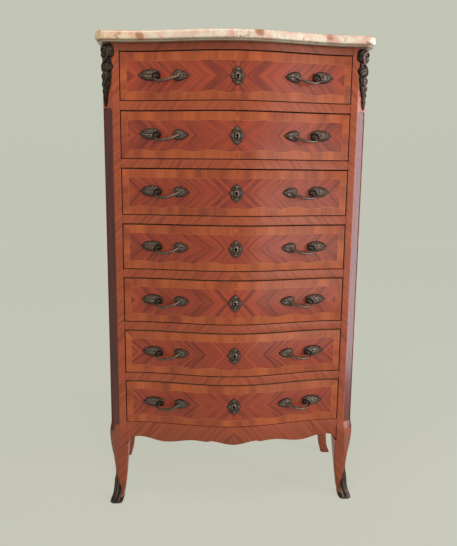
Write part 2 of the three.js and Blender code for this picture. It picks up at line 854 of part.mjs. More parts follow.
// Veneer of the drawer fronts
function kingwood() {
  return new THREE.MeshStandardMaterial({ color: 0x8c3a2a, roughness: 0.3, metalness: 0 });
}

// Veneer of the rails, posts and sides
function tulipwood() {
  return new THREE.MeshStandardMaterial({ color: 0xa04a2c, roughness: 0.32, metalness: 0 });
}

// Bare wood of the drawer boxes and the back
function oak() {
  return new THREE.MeshStandardMaterial({ color: 0xa98459, roughness: 0.7, metalness: 0 });
}

// Pale veined stone with a polish
function breccia() {
  return new THREE.MeshStandardMaterial({ color: 0xf0d9c6, roughness: 0.22, metalness: 0 });
}

// Cast bronze that has gone dark
function bronze() {
  return new THREE.MeshStandardMaterial({ color: 0x4a473a, roughness: 0.42, metalness: 0.9 });
}

// Lock steel
function steel() {
  return new THREE.MeshStandardMaterial({ color: 0x8d8f91, roughness: 0.35, metalness: 1 });
}

// A named piece from a finished solid
function piece(name, manifold, material) {
  const mesh = new THREE.Mesh(geometryOf(manifold), material);
  mesh.name = name;
  return mesh;
}

// The standing case with everything that is fixed to it
function carcass() {
  const group = new THREE.Group();
  group.add(piece('marble_top', marbleSolid(), breccia()));
  for (const [hand, side] of [['left', -1], ['right', 1]]) {
    group.add(piece(`front_${hand}_post`, frontPostSolid(side), tulipwood()));
    group.add(piece(`${hand}_side`, sideSolid(side), tulipwood()));
    group.add(piece(`${hand}_corner_mount`, cornerMountSolid(side), bronze()));
    group.add(piece(`front_${hand}_sabot`, shoeSolid(side), bronze()));
  }
  group.add(piece('back_panel', backSolid(), oak()));
  group.add(piece('top_rail', topRailSolid(), tulipwood()));
  group.add(piece('front_apron', apronSolid(), tulipwood()));
  for (let number = 1; number < drawerCount; number += 1) {
    group.add(piece(`drawer_divider_${number}`, dividerSolid(drawerFloor(number)), tulipwood()));
  }
  return group;
}

// The height that a drawer runs at, counted from the top
function drawerFloor(number) {
  return baseHeight + (drawerCount - number) * drawerPitch;
}

// One drawer with its mounts and its lock bolt
function drawer(number) {
  const group = new THREE.Group();
  const name = `drawer_${number}`;
  group.add(piece(`${name}_front`, drawerFrontSolid(), kingwood()));
  group.add(piece(`${name}_box`, drawerBoxSolid(), oak()));
  group.add(piece(`${name}_left_pull`, pullSolid(-1), bronze()));
  group.add(piece(`${name}_right_pull`, pullSolid(1), bronze()));
  group.add(piece(`${name}_escutcheon`, keyPlateSolid(), bronze()));
  group.add(piece(`${name}_lock_bolt`, boltSolid(), steel()));
  group.position.z = drawerFloor(number);
  return group;
}

const semainier = new THREE.Group();
semainier.add(carcass());
for (let number = 1; number <= drawerCount; number += 1) {
  semainier.add(drawer(number));
}

export default semainier;
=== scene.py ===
"""Semainier: a tall chest of seven serpentine drawers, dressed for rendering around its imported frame.

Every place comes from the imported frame, and every visible piece that the frame gives in few flat faces
is replaced here by a finer one on the same lines. All sizes are in metres unless a name says otherwise.
"""

import logging
import math
from dataclasses import dataclass, field
from enum import Enum

import bpy
import numpy as np
from mathutils import Matrix, Vector

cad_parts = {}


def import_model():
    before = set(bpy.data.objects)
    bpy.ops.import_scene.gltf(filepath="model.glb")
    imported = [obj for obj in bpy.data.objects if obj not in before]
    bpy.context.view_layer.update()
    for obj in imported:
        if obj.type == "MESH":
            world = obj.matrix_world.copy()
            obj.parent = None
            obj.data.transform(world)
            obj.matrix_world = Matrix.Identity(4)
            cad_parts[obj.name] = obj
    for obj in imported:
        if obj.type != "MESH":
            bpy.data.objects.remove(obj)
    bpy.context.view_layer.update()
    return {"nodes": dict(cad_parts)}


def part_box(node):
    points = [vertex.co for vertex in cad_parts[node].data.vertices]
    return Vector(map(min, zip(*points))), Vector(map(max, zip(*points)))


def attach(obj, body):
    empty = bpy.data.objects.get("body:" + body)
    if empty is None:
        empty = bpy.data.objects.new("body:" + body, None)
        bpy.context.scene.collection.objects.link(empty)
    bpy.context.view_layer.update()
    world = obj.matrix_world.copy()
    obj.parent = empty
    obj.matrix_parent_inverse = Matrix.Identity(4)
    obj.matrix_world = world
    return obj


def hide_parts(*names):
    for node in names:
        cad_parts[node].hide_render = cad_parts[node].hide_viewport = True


LOG = logging.getLogger("semainier")
Array = np.ndarray
Socket = bpy.types.NodeSocket
Tree = bpy.types.NodeTree
Colour = tuple[float, float, float, float]
Rows = tuple[tuple[float, ...], ...]
Triple = tuple[float, float, float]
MM = 0.001
# Marks that belong to whole faces, so that a cut leaves them crisp. The others belong to points.
FACE_MARKS = ("veneer", "pocket")


class Slot(Enum):
    """The record's material slots."""

    MARQUETRY = "marquetry_front"
    VENEER = "veneered_case"
    OAK = "oak"
    MARBLE = "breccia_marble"
    BRONZE = "cast_bronze"
    STEEL = "lock_steel"


class Hand(Enum):
    """Left and right as seen from the front, with the sign of x."""

    LEFT = -1
    RIGHT = 1


# Surfaces


@dataclass
class Skin:
    """A closed surface as whole arrays.

    Args:
        points: one row of x, y, z for each point.
        quads: four point numbers for each face.
        caps: the rings of point numbers that close open ends.
        uv: two values for each point, for patterns that follow the surface.
        marks: named values for each point, for the material to read.
    """

    points: Array
    quads: Array
    caps: list[Array] = field(default_factory=list)
    uv: Array | None = None
    marks: dict[str, Array] = field(default_factory=dict)

    def volume(self) -> float:
        """Signed volume, the sum over the triangles of a . (b x c) / 6.

        Returns:
            The volume, under 0 where the faces point inward.
        """
        fans = [np.stack([np.full(len(c) - 2, c[0]), c[1:-1], c[2:]], 1) for c in self.caps]
        corners = np.concatenate([self.quads[:, [0, 1, 2]], self.quads[:, [0, 2, 3]], *fans])
        a, b, c = (self.points[corners[:, k]] for k in range(3))
        return float(np.einsum("ij,ij->", a, np.cross(b, c)) / 6)

    def outward(self) -> "Skin":
        """Turns the faces outward.

        Returns:
            The same skin.
        """
        if self.volume() < 0:
            self.quads = self.quads[:, ::-1]
            self.caps = [cap[::-1] for cap in self.caps]
        return self


def shell(rings: Array, looped: bool = False, uv: Array | None = None, **marks: Array) -> Skin:
    """Closes a surface over rings of points, ring after ring.

    Args:
        rings: levels x stations x 3, each ring closed on itself.
        looped: whether the last ring joins the first, in place of two end caps.
        uv: levels x stations x 2.
        marks: named values, each levels x stations.

    Returns:
        The closed skin, its faces outward.
    """
    levels, count = rings.shape[:2]
    index = np.arange(levels * count).reshape(levels, count)
    ends = [index[0][::-1], index[-1]]
    index = np.concatenate([index, index[:, :1]], 1)
    if looped:
        index = np.concatenate([index, index[:1]], 0)
    faces = np.stack([index[:-1, :-1], index[:-1, 1:], index[1:, 1:], index[1:, :-1]], -1)
    flat_marks = {name: np.broadcast_to(value, (levels, count)).ravel() for name, value in marks.items()}
    flat_uv = None if uv is None else uv.reshape(-1, 2)
    caps = [] if looped else ends
    return Skin(rings.reshape(-1, 3), faces.reshape(-1, 4), caps, flat_uv, flat_marks).outward()


def raised(plan: Array, height: Array | float) -> Array:
    """Rings of points from outlines in plan and their heights.

    Args:
        plan: x and y of each point, ... x 2.
        height: the height of each point, or of each ring with a last axis of 1.

    Returns:
        The points, ... x 3.
    """
    return np.concatenate([plan, np.broadcast_to(np.asarray(height)[..., None], (*plan.shape[:-1], 1))], -1)


def smooth_rows(rows: Rows | Array, place: Array) -> Array:
    """Cubic Hermite curve through rows of shares.

    Between two rows the value is their cubic blend, and the slope at a row is the rise between its
    neighbours over the distance between them.

    Args:
        rows: rows whose first value is the place and whose others are the values there.
        place: where to read, of any shape.

    Returns:
        The values, of the shape of place with one more axis for the columns.
    """
    table = np.asarray(rows, float)
    at, values = table[:, 0], table[:, 1:]
    before = np.maximum(np.arange(len(at)) - 1, 0)
    after = np.minimum(np.arange(len(at)) + 1, len(at) - 1)
    slopes = (values[after] - values[before]) / (at[after] - at[before])[:, None]
    span = np.clip(np.searchsorted(at, place) - 1, 0, len(at) - 2)
    width = (at[span + 1] - at[span])[..., None]
    t = np.clip((place - at[span])[..., None] / width, 0, 1)
    start = values[span] * (1 + 2 * t) * (1 - t) ** 2 + width * slopes[span] * t * (1 - t) ** 2
    end = values[span + 1] * t * t * (3 - 2 * t) + width * slopes[span + 1] * t * t * (t - 1)
    return start + end


def along_chords(rows: Rows | Array, steps: int) -> tuple[Array, ...]:
    """A smooth path through rows of points, each at its share of the length of the straight stretches.

    Args:
        rows: rows of three places and the values there, in millimetres.
        steps: how many points the path gets.

    Returns:
        The points' shares of the length, and each column along the path in metres.
    """
    table = np.asarray(rows, float) * MM
    length = np.concatenate([[0], np.cumsum(np.linalg.norm(np.diff(table[:, :3], axis=0), axis=1))])
    t = np.linspace(0, 1, steps)
    path = smooth_rows(np.concatenate([length[:, None] / length[-1], table], 1), t)
    return t, *np.moveaxis(path, -1, 0)


def wavy_rows(rows: Rows, place: Array) -> Array:
    """A wavy line: rows of place and depth, with half a cosine wave between each two.

    Args:
        rows: rows of place and depth.
        place: where to read.

    Returns:
        The depth at each place.
    """
    at, depth = np.array(rows, float).T
    span = np.clip(np.searchsorted(at, place) - 1, 0, len(at) - 2)
    t = np.clip((place - at[span]) / (at[span + 1] - at[span]), 0, 1)
    return depth[span] + (depth[span + 1] - depth[span]) * (1 - np.cos(np.pi * t)) / 2


def rounded_box(low: Array, high: Array, radius: Array, steps: int = 5) -> Array:
    """A rectangle with quarter-circle corners, which may differ from ring to ring.

    Args:
        low: lower corner, ... x 2.
        high: upper corner, ... x 2.
        radius: radius of the corners, ...
        steps: how many points each corner has.

    Returns:
        The outline, ... x 4 steps x 2, turning anticlockwise.
    """
    low, high, radius = np.asarray(low, float), np.asarray(high, float), np.asarray(radius, float)
    quarter = np.linspace(0, np.pi / 2, steps)
    angle = np.concatenate([quarter + turn * np.pi / 2 for turn in range(4)])
    right = np.repeat([1.0, 0.0, 0.0, 1.0], steps)
    upper = np.repeat([1.0, 1.0, 0.0, 0.0], steps)
    inset = radius[..., None]
    x = low[..., None, 0] + inset + (high - low)[..., None, 0] * right - 2 * inset * right
    y = low[..., None, 1] + inset + (high - low)[..., None, 1] * upper - 2 * inset * upper
    return np.stack([x + inset * np.cos(angle), y + inset * np.sin(angle)], -1)


def tube(path: Array, radius: Array, facing: Array, sides: int = 10) -> Skin:
    """A round bar along a path: a circle in the plane across the path, swept along it.

    Args:
        path: the middle line, n x 3.
        radius: the radius at each point of the path, n.
        facing: a direction that the path never runs along, 3 or n x 3.
        sides: how many points the circle has.

    Returns:
        The closed skin, with the mark relief.
    """
    along = np.gradient(path, axis=0)
    along /= np.linalg.norm(along, axis=1)[:, None]
    across = np.cross(along, np.broadcast_to(facing, along.shape))
    across /= np.linalg.norm(across, axis=1)[:, None]
    out = np.cross(across, along)
    angle = np.linspace(0, 2 * np.pi, sides, endpoint=False)
    circle = across[:, None] * np.cos(angle)[:, None] + out[:, None] * np.sin(angle)[:, None]
    rings = path[:, None] + radius[:, None, None] * circle
    return shell(rings, relief=0.62 + 0.38 * np.abs(np.sin(angle)))


def box_skin(low: Array, high: Array, radius: float = 0.0008, steps: int = 4) -> Skin:
    """A board or block with softened arrises: rounded rectangles that draw in at both ends.

    Args:
        low: lowest corner.
        high: highest corner.
        radius: how much the arrises are softened.
        steps: points in each rounded corner, and rings at each end.

    Returns:
        The closed skin.
    """
    low, high = np.asarray(low, float), np.asarray(high, float)
    angle = np.linspace(0, np.pi / 2, steps)
    inset = radius * (1 - np.sin(angle))
    height = radius * (1 - np.cos(angle))
    insets = np.concatenate([inset, inset[::-1]])[:, None]
    heights = np.concatenate([low[2] + height, high[2] - height[::-1]])
    plan = rounded_box(low[:2] + insets, high[:2] - insets, np.full(len(insets), radius), steps)
    return shell(raised(plan, heights[:, None]))


def joined(skins: list[Skin]) -> Skin:
    """Several skins as one, side by side.

    Args:
        skins: the skins.

    Returns:
        One skin, with 0 for the marks that a skin lacks.
    """
    starts = np.cumsum([0] + [len(s.points) for s in skins])
    names = sorted({name for s in skins for name in s.marks})
    marks = {n: np.concatenate([s.marks.get(n, np.zeros(len(s.points))) for s in skins]) for n in names}
    flat = [np.zeros((len(s.points), 2)) if s.uv is None else s.uv for s in skins]
    return Skin(
        np.concatenate([s.points for s in skins]),
        np.concatenate([s.quads + start for s, start in zip(skins, starts)]),
        [cap + start for s, start in zip(skins, starts) for cap in s.caps],
        None if all(s.uv is None for s in skins) else np.concatenate(flat),
        marks,
    )


def mesh_object(name: str, skin: Skin, sharp: float) -> bpy.types.Object:
    """A mesh object at the origin from a skin.

    Args:
        name: the object's name.
        skin: what the mesh holds.
        sharp: faces that meet at more than this angle, in degrees, keep a crisp edge.

    Returns:
        The new object, in the scene.
    """
    mesh = bpy.data.meshes.new(name)
    mesh.from_pydata(skin.points.tolist(), [], skin.quads.tolist() + [cap.tolist() for cap in skin.caps])
    mesh.polygons.foreach_set("use_smooth", np.ones(len(mesh.polygons), bool))
    corners, starts = np.zeros(len(mesh.loops), np.int32), np.zeros(len(mesh.polygons), np.int32)
    mesh.loops.foreach_get("vertex_index", corners)
    mesh.polygons.foreach_get("loop_start", starts)
    if skin.uv is not None:
        mesh.uv_layers.new(name="sheet").uv.foreach_set("vector", skin.uv[corners].astype(np.float32).ravel())
    for mark, value in skin.marks.items():
        domain = "FACE" if mark in FACE_MARKS else "POINT"
        if domain == "FACE":
            value = np.minimum.reduceat(value[corners], starts)
        mesh.attributes.new(mark, "FLOAT", domain).data.foreach_set("value", value.astype(np.float32))
    mesh.set_sharp_from_angle(angle=math.radians(sharp))
    made = bpy.data.objects.new(name, mesh)
    bpy.context.scene.collection.objects.link(made)
    return made


def carve(made: bpy.types.Object, cutter: Skin, sharp: float) -> None:
    """Cuts a pocket into a piece, marks its walls, and keeps the result as the piece's own mesh.

    Args:
        made: the piece.
        cutter: what is cut out.
        sharp: the angle in degrees above which an edge stays crisp.
    """
    cutter.marks["pocket"] = np.ones(len(cutter.points))
    tool = mesh_object("cutter", cutter, sharp)
    cut = made.modifiers.new("pocket", "BOOLEAN")
    cut.operation, cut.solver, cut.object = "DIFFERENCE", "EXACT", tool
    result = bpy.data.meshes.new_from_object(made.evaluated_get(bpy.context.evaluated_depsgraph_get()))
    made.modifiers.clear()
    made.data = result
    result.set_sharp_from_angle(angle=math.radians(sharp))
    bpy.data.objects.remove(tool)


# Places


@dataclass(frozen=True)
class Layout:
    """Where the case and its front stand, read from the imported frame.

    Args:
        stile_y: the flat of the stiles.
        back_y: the back of the case.
        case_half: half the width of the case.
        opening_half: half the width between the stiles.
        case_top: the top of the case.
        base: the floor of the lowest drawer.
        swell: how far the middle of the front stands before the stiles.
        cant: width and depth of the cant across each front corner.
        post_depth: from the flat of the stiles to behind the front posts.
        side_board: thickness of the side panels.
        rear_width: width of the rear posts.
        rear_depth: depth of the rear posts.
        lap: how far the side panels lap into the rear posts.
        back_board: thickness of the back.
        drawers: how many drawers there are.
        gap: the fitting gap between pieces.
    """

    stile_y: float
    back_y: float
    case_half: float
    opening_half: float
    case_top: float
    base: float
    swell: float = 0.0465
    cant: tuple[float, float] = (0.028, 0.027)
    post_depth: float = 0.0503
    side_board: float = 0.018
    rear_width: float = 0.04
    rear_depth: float = 0.044
    lap: float = 0.006
    back_board: float = 0.012
    drawers: int = 7
    gap: float = 0.0003

    @classmethod
    def from_frame(
        cls, side_gap: float = 0.0015, floor_gap: float = 0.0012, marble_overhang: float = 0.013
    ) -> "Layout":
        """Reads the places from the frame's own boxes.

        Args:
            side_gap: between a drawer front and a stile.
            floor_gap: below a drawer front.
            marble_overhang: how far the marble stands over the sides.

        Returns:
            The places.
        """
        rail_low, rail_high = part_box("top_rail")
        return cls(
            stile_y=rail_low.y + cls.swell,
            back_y=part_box("back_panel")[1].y,
            case_half=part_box("marble_top")[1].x - marble_overhang,
            opening_half=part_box("drawer_1_front")[1].x + side_gap,
            case_top=rail_high.z,
            base=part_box("drawer_7_front")[0].z - floor_gap,
        )

    @property
    def panel_ends(self) -> tuple[float, float]:
        """Front and back edge of the side panels."""
        return self.stile_y + self.post_depth, self.back_y - self.rear_depth + self.lap

    def front(self, x: Array | float) -> Array:
        """Depth of the front at x: the stile less the swell, which is one cosine wave over the opening."""
        share = np.minimum(np.abs(x) / self.opening_half, 1)
        return self.stile_y - self.swell * (1 + np.cos(np.pi * share)) / 2

    def swept(self, xs: Array, section: Array) -> Array:
        """A section of setback and height, carried along the front.

        Args:
            xs: the places along the front, n.
            section: setback and height, m x 2 or n x m x 2.

        Returns:
            Rings of points, n x m x 3.
        """
        section = np.broadcast_to(section, (len(xs), *section.shape[-2:]))
        across = np.broadcast_to(xs[:, None], section.shape[:2])
        return np.stack([across, self.front(across) + section[..., 0], section[..., 1]], -1)

    def seated(self, x: Array, z: Array, rise: Array) -> Array:
        """Points laid on the bowed front: in front of it by the fitting gap and the rise."""
        return np.stack([x, self.front(x) - self.gap - rise, z], -1)


# Finishes


def linear(code: str) -> Colour:
    """The linear colour of an sRGB value.

    Args:
        code: the value as # and six hex digits.

    Returns:
        Red, green, blue and an alpha of 1.
    """
    share = np.array([int(code[k : k + 2], 16) for k in (1, 3, 5)]) / 255
    value = np.where(share <= 0.04045, share / 12.92, ((share + 0.055) / 1.055) ** 2.4)
    return (*value.tolist(), 1.0)


def add(
    tree: Tree,
    kind: str,
    *inputs: object,
    out: int | str = 0,
    stops: tuple[tuple[float, str], ...] = (),
    **settings: object,
) -> Socket:
    """Adds one node with its settings and links.

    Args:
        tree: the node tree.
        kind: the node's type, without the part that all shader nodes share.
        inputs: values or other nodes' sockets for the first inputs, or one dict by name or number.
        out: the output that is wanted.
        stops: the places of a colour ramp and its sRGB hex colours.
        settings: the node's own properties.

    Returns:
        The output socket, or the node's first input where it has no output.
    """
    node = tree.nodes.new("ShaderNode" + kind)
    for name, value in settings.items():
        setattr(node, name, value)
    given = inputs[0] if inputs and isinstance(inputs[0], dict) else dict(enumerate(inputs))
    for name, value in given.items():
        if isinstance(value, Socket):
            tree.links.new(value, node.inputs[name])
        else:
            node.inputs[name].default_value = value
    if stops:
        ramp = node.color_ramp
        while len(ramp.elements) < len(stops):
            ramp.elements.new(0.5)
        for element, (place, code) in zip(ramp.elements, stops):
            element.position, element.color = place, linear(code)
    return node.outputs[out] if len(node.outputs) else node.inputs[0]


def new_material(name: str) -> tuple[bpy.types.Material, Tree]:
    """An empty node material.

    Args:
        name: the material's name.

    Returns:
        The material and its tree.
    """
    made = bpy.data.materials.new(name)
    made.use_nodes = True
    made.node_tree.nodes.clear()
    return made, made.node_tree


@dataclass(frozen=True)
class Timber:
    """Colour and figure of one veneer or board.

    Args:
        light: the pale bands between the growth rings.
        middle: the body colour.
        dark: the late wood and the streaks.
        band: width of the broad bands across the grain.
        line: width of the fine lines across the grain.
        length: how far a band runs along the grain.
        streaks: how strongly the dark streaks show, from 0 to 1.
    """

    light: str
    middle: str
    dark: str
    band: float
    line: float
    length: float
    streaks: float = 0.6

    def figure(
        self, tree: Tree, across: Socket, along: Socket, seed: Socket | float
    ) -> tuple[Socket, Socket]:
        """The wood's colour and its fine grain.

        Noise that is short across the grain and long along it gives the bands, finer noise the lines,
        and the peaks of a third noise the dark streaks.

        Args:
            tree: the node tree.
            across: distance across the grain.
            along: distance along the grain.
            seed: sets one sheet of veneer apart from the next.

        Returns:
            The colour and the grain from 0 to 1.
        """
        sheets = []
        for width, run, shift, detail in (
            (self.band, self.length, 0.0, 2.0),
            (self.line, self.length * 0.35, 3.7, 3.0),
            (self.band * 1.7, self.length * 1.6, 7.9, 1.0),
        ):
            u = add(tree, "Math", across, 1 / width, operation="MULTIPLY")
            v = add(tree, "Math", along, 1 / run, operation="MULTIPLY")
            w = add(tree, "Math", seed, shift, operation="ADD")
            place = add(tree, "CombineXYZ", u, v, w)
            sheets.append(add(tree, "TexNoise", {"Vector": place, "Scale": 1.0, "Detail": detail}))
        broad, fine, streak = sheets
        share = add(tree, "Mix", {0: 0.28, 2: broad, 3: fine}, data_type="FLOAT")
        stops = ((0.34, self.dark), (0.47, self.middle), (0.62, self.light))
        body = add(tree, "ValToRGB", share, stops=stops)
        peak = add(tree, "MapRange", streak, 0.56, 0.66, 0.0, self.streaks)
        colour = add(tree, "Mix", {0: peak, 6: body, 7: linear(self.dark)}, out=2, data_type="RGBA")
        return colour, fine


KINGWOOD = Timber("#B0482E", "#9A3D28", "#752D22", 0.0115, 0.0026, 0.2, 0.2)
TULIPWOOD = Timber("#BD5D31", "#A74D2A", "#8F3D23", 0.034, 0.0024, 0.2, 0.1)
CASEWOOD = Timber("#B25432", "#A34A2E", "#853A25", 0.013, 0.002, 0.22, 0.2)
PANELWOOD = Timber("#6C1D15", "#591712", "#3A0D0A", 0.007, 0.0015, 0.18, 0.5)
OAKWOOD = Timber("#C4A071", "#B48C5B", "#987246", 0.005, 0.0009, 0.3, 0.2)


@dataclass(frozen=True)
class Polish:
    """Shellac over wood: a soft gloss that lets the grain show.

    Args:
        roughness: how dull the wood itself is.
        coat: how much clear coat lies over it.
        coat_roughness: how dull the coat is.
        bump: how deep the grain feels.
    """

    roughness: float = 0.38
    coat: float = 0.2
    coat_roughness: float = 0.2
    bump: float = 0.10


def finish_wood(tree: Tree, colour: Socket, grain: Socket, polish: Polish) -> None:
    """Ends a wood material: colour, grain as bump, gloss that the open pores break, and the coat.

    Args:
        tree: the node tree.
        colour: the wood's colour.
        grain: its fine grain.
        polish: its polish.
    """
    rough = add(tree, "MapRange", {0: grain, 3: polish.roughness + 0.08, 4: polish.roughness - 0.06})
    height = add(tree, "Bump", {"Strength": polish.bump, "Distance": 0.0004, "Height": grain})
    surface = {"Base Color": colour, "Roughness": rough, "Normal": height, "Specular IOR Level": 0.36}
    surface |= {"Coat Weight": polish.coat, "Coat Roughness": polish.coat_roughness}
    add(tree, "OutputMaterial", {"Surface": add(tree, "BsdfPrincipled", surface)})


@dataclass(frozen=True)
class Marquetry:
    """Bookmatched kingwood in a tulipwood border, knife-cut and laid on a curved front.

    The four quarters of the field mirror one another, and their grain runs at 45 degrees, so the
    streaks meet on the middle line as arrowheads that point to the middle of the panel.

    Args:
        name: the material's name.
        half_width: half the width of the veneered face.
        half_height: half its height.
        side: width of the border at both ends.
        upper: width of the border along the top.
        lower: width of the border along the bottom.
        wave: how far the lower edge of the field rises and falls.
        wave_length: the distance from one rise to the next.
        wave_place: distance of a rise from the middle.
        drift: how far the growth rings wander.
        string: the light string round the field.
        seam: soiling in the mitres of the border.
        rim: soiling and painted shade of the gaps along the edge of the face.
        painted_hole_shade: painted shade on the walls of what is cut out, where the mark pocket is 1, for the
            dark inside of the deep hole.
        ground: the wood behind the veneer, where the mark veneer is 0.
    """

    name: str
    half_width: float
    half_height: float
    side: float = 0.0175
    upper: float = 0.0225
    lower: float = 0.021
    wave: float = 0.0026
    wave_length: float = 0.093
    wave_place: float = 0.066
    drift: float = 0.036
    string: str = "#D98A4E"
    seam: str = "#4E1C12"
    rim: str = "#2A0F0A"
    painted_hole_shade: str = "#1A0D08"
    ground: Timber = OAKWOOD

    def build(self) -> bpy.types.Material:
        """Makes the veneer on the uv map sheet, which is in metres from the middle of the face.

        Returns:
            The material.
        """
        made, tree = new_material(self.name)
        place = add(tree, "SeparateXYZ", add(tree, "UVMap", uv_map="sheet"))
        u, v = place, place.node.outputs[1]
        seed = add(tree, "Attribute", out="Fac", attribute_name="seed")
        across = add(tree, "Math", u, operation="ABSOLUTE")
        up = add(tree, "Math", v, operation="ABSOLUTE")
        # The growth rings wander a little, alike in the four quarters.
        spot = add(tree, "CombineXYZ", across, up, seed)
        bend = add(tree, "TexNoise", {"Vector": spot, "Scale": 9.0, "Detail": 1.0})
        drift = add(tree, "Math", bend, self.drift, -self.drift / 2, operation="MULTIPLY_ADD")
        slant = add(tree, "Math", up, across, operation="SUBTRACT")
        ring = add(tree, "Math", slant, drift, operation="ADD")
        run = add(tree, "Math", up, across, operation="ADD")
        field_colour, field_grain = KINGWOOD.figure(tree, ring, run, seed)
        # Distances from the edges of the face, less the widths of the border.
        end = add(tree, "Math", self.half_width, across, operation="SUBTRACT")
        above = add(tree, "Math", self.half_height, v, operation="SUBTRACT")
        below = add(tree, "Math", v, self.half_height, operation="ADD")
        turn = 2 * math.pi / self.wave_length
        phase = add(tree, "Math", across, turn, -turn * self.wave_place, operation="MULTIPLY_ADD")
        rise = add(tree, "Math", phase, operation="COSINE")
        low_edge = add(tree, "Math", rise, self.wave, self.lower, operation="MULTIPLY_ADD")
        high_edge = add(tree, "Math", rise, -0.3 * self.wave, self.upper, operation="MULTIPLY_ADD")
        from_low = add(tree, "Math", below, low_edge, operation="SUBTRACT")
        from_high = add(tree, "Math", above, high_edge, operation="SUBTRACT")
        from_end = add(tree, "Math", end, self.side, operation="SUBTRACT")
        nearest = add(tree, "Math", from_low, from_high, operation="MINIMUM")
        inside = add(tree, "Math", nearest, from_end, operation="MINIMUM")
        in_field = add(tree, "MapRange", inside, -0.0002, 0.0002)
        # The border is cut across the grain and mitred at the corners.
        to_edge = add(tree, "Math", above, below, operation="MINIMUM")
        mitre = add(tree, "Math", to_edge, end, operation="SUBTRACT")
        at_end = add(tree, "MapRange", mitre, -0.0001, 0.0001)
        border_across = add(tree, "Mix", {0: at_end, 2: u, 3: v}, data_type="FLOAT")
        border_along = add(tree, "Mix", {0: at_end, 2: v, 3: u}, data_type="FLOAT")
        other = add(tree, "Math", seed, 11.3, operation="ADD")
        border_colour, border_grain = TULIPWOOD.figure(tree, border_across, border_along, other)
        colour = add(tree, "Mix", {0: in_field, 6: border_colour, 7: field_colour}, out=2, data_type="RGBA")
        grain = add(tree, "Mix", {0: in_field, 2: border_grain, 3: field_grain}, data_type="FLOAT")
        # The string is about 1.2 mm wide. Soiling lies 0.4 mm wide in the mitres; at the rim lies 1 mm of
        # soiling and painted shade of the gap.
        line = add(tree, "Math", inside, operation="ABSOLUTE")
        on_line = add(tree, "MapRange", line, 0.0008, 0.0004, 0.0, 0.26)
        seam = add(tree, "Math", mitre, operation="ABSOLUTE")
        on_seam = add(tree, "MapRange", seam, 0.0006, 0.0002, 0.0, 0.5)
        outside = add(tree, "Math", 1.0, in_field, operation="SUBTRACT")
        seam_share = add(tree, "Math", on_seam, outside, operation="MULTIPLY")
        # Painted shade: the last 1 mm of the face is darkened for the shadow in the gaps round it, as well as
        # soiling.
        rim = add(tree, "Math", to_edge, end, operation="MINIMUM")
        rim_dirt_and_shade = add(tree, "MapRange", rim, 0.0014, 0.0006, 0.0, 0.85)
        for share, code in ((on_line, self.string), (seam_share, self.seam), (rim_dirt_and_shade, self.rim)):
            colour = add(tree, "Mix", {0: share, 6: colour, 7: linear(code)}, out=2, data_type="RGBA")
        back_colour, back_grain = self.ground.figure(tree, v, u, seed)
        face = add(tree, "Attribute", out="Fac", attribute_name="veneer")
        shown = add(tree, "MapRange", face, 0.45, 0.55)
        colour = add(tree, "Mix", {0: shown, 6: back_colour, 7: colour}, out=2, data_type="RGBA")
        grain = add(tree, "Mix", {0: shown, 2: back_grain, 3: grain}, data_type="FLOAT")
        # Painted shade: the walls of the keyhole are painted near black, for the shade deep in the hole.
        hole_wall = add(tree, "Attribute", out="Fac", attribute_name="pocket")
        colour = add(tree, "Mix", {0: hole_wall, 6: colour, 7: linear(self.painted_hole_shade)}, out=2, data_type="RGBA")
        finish_wood(tree, colour, grain, Polish())
        return made


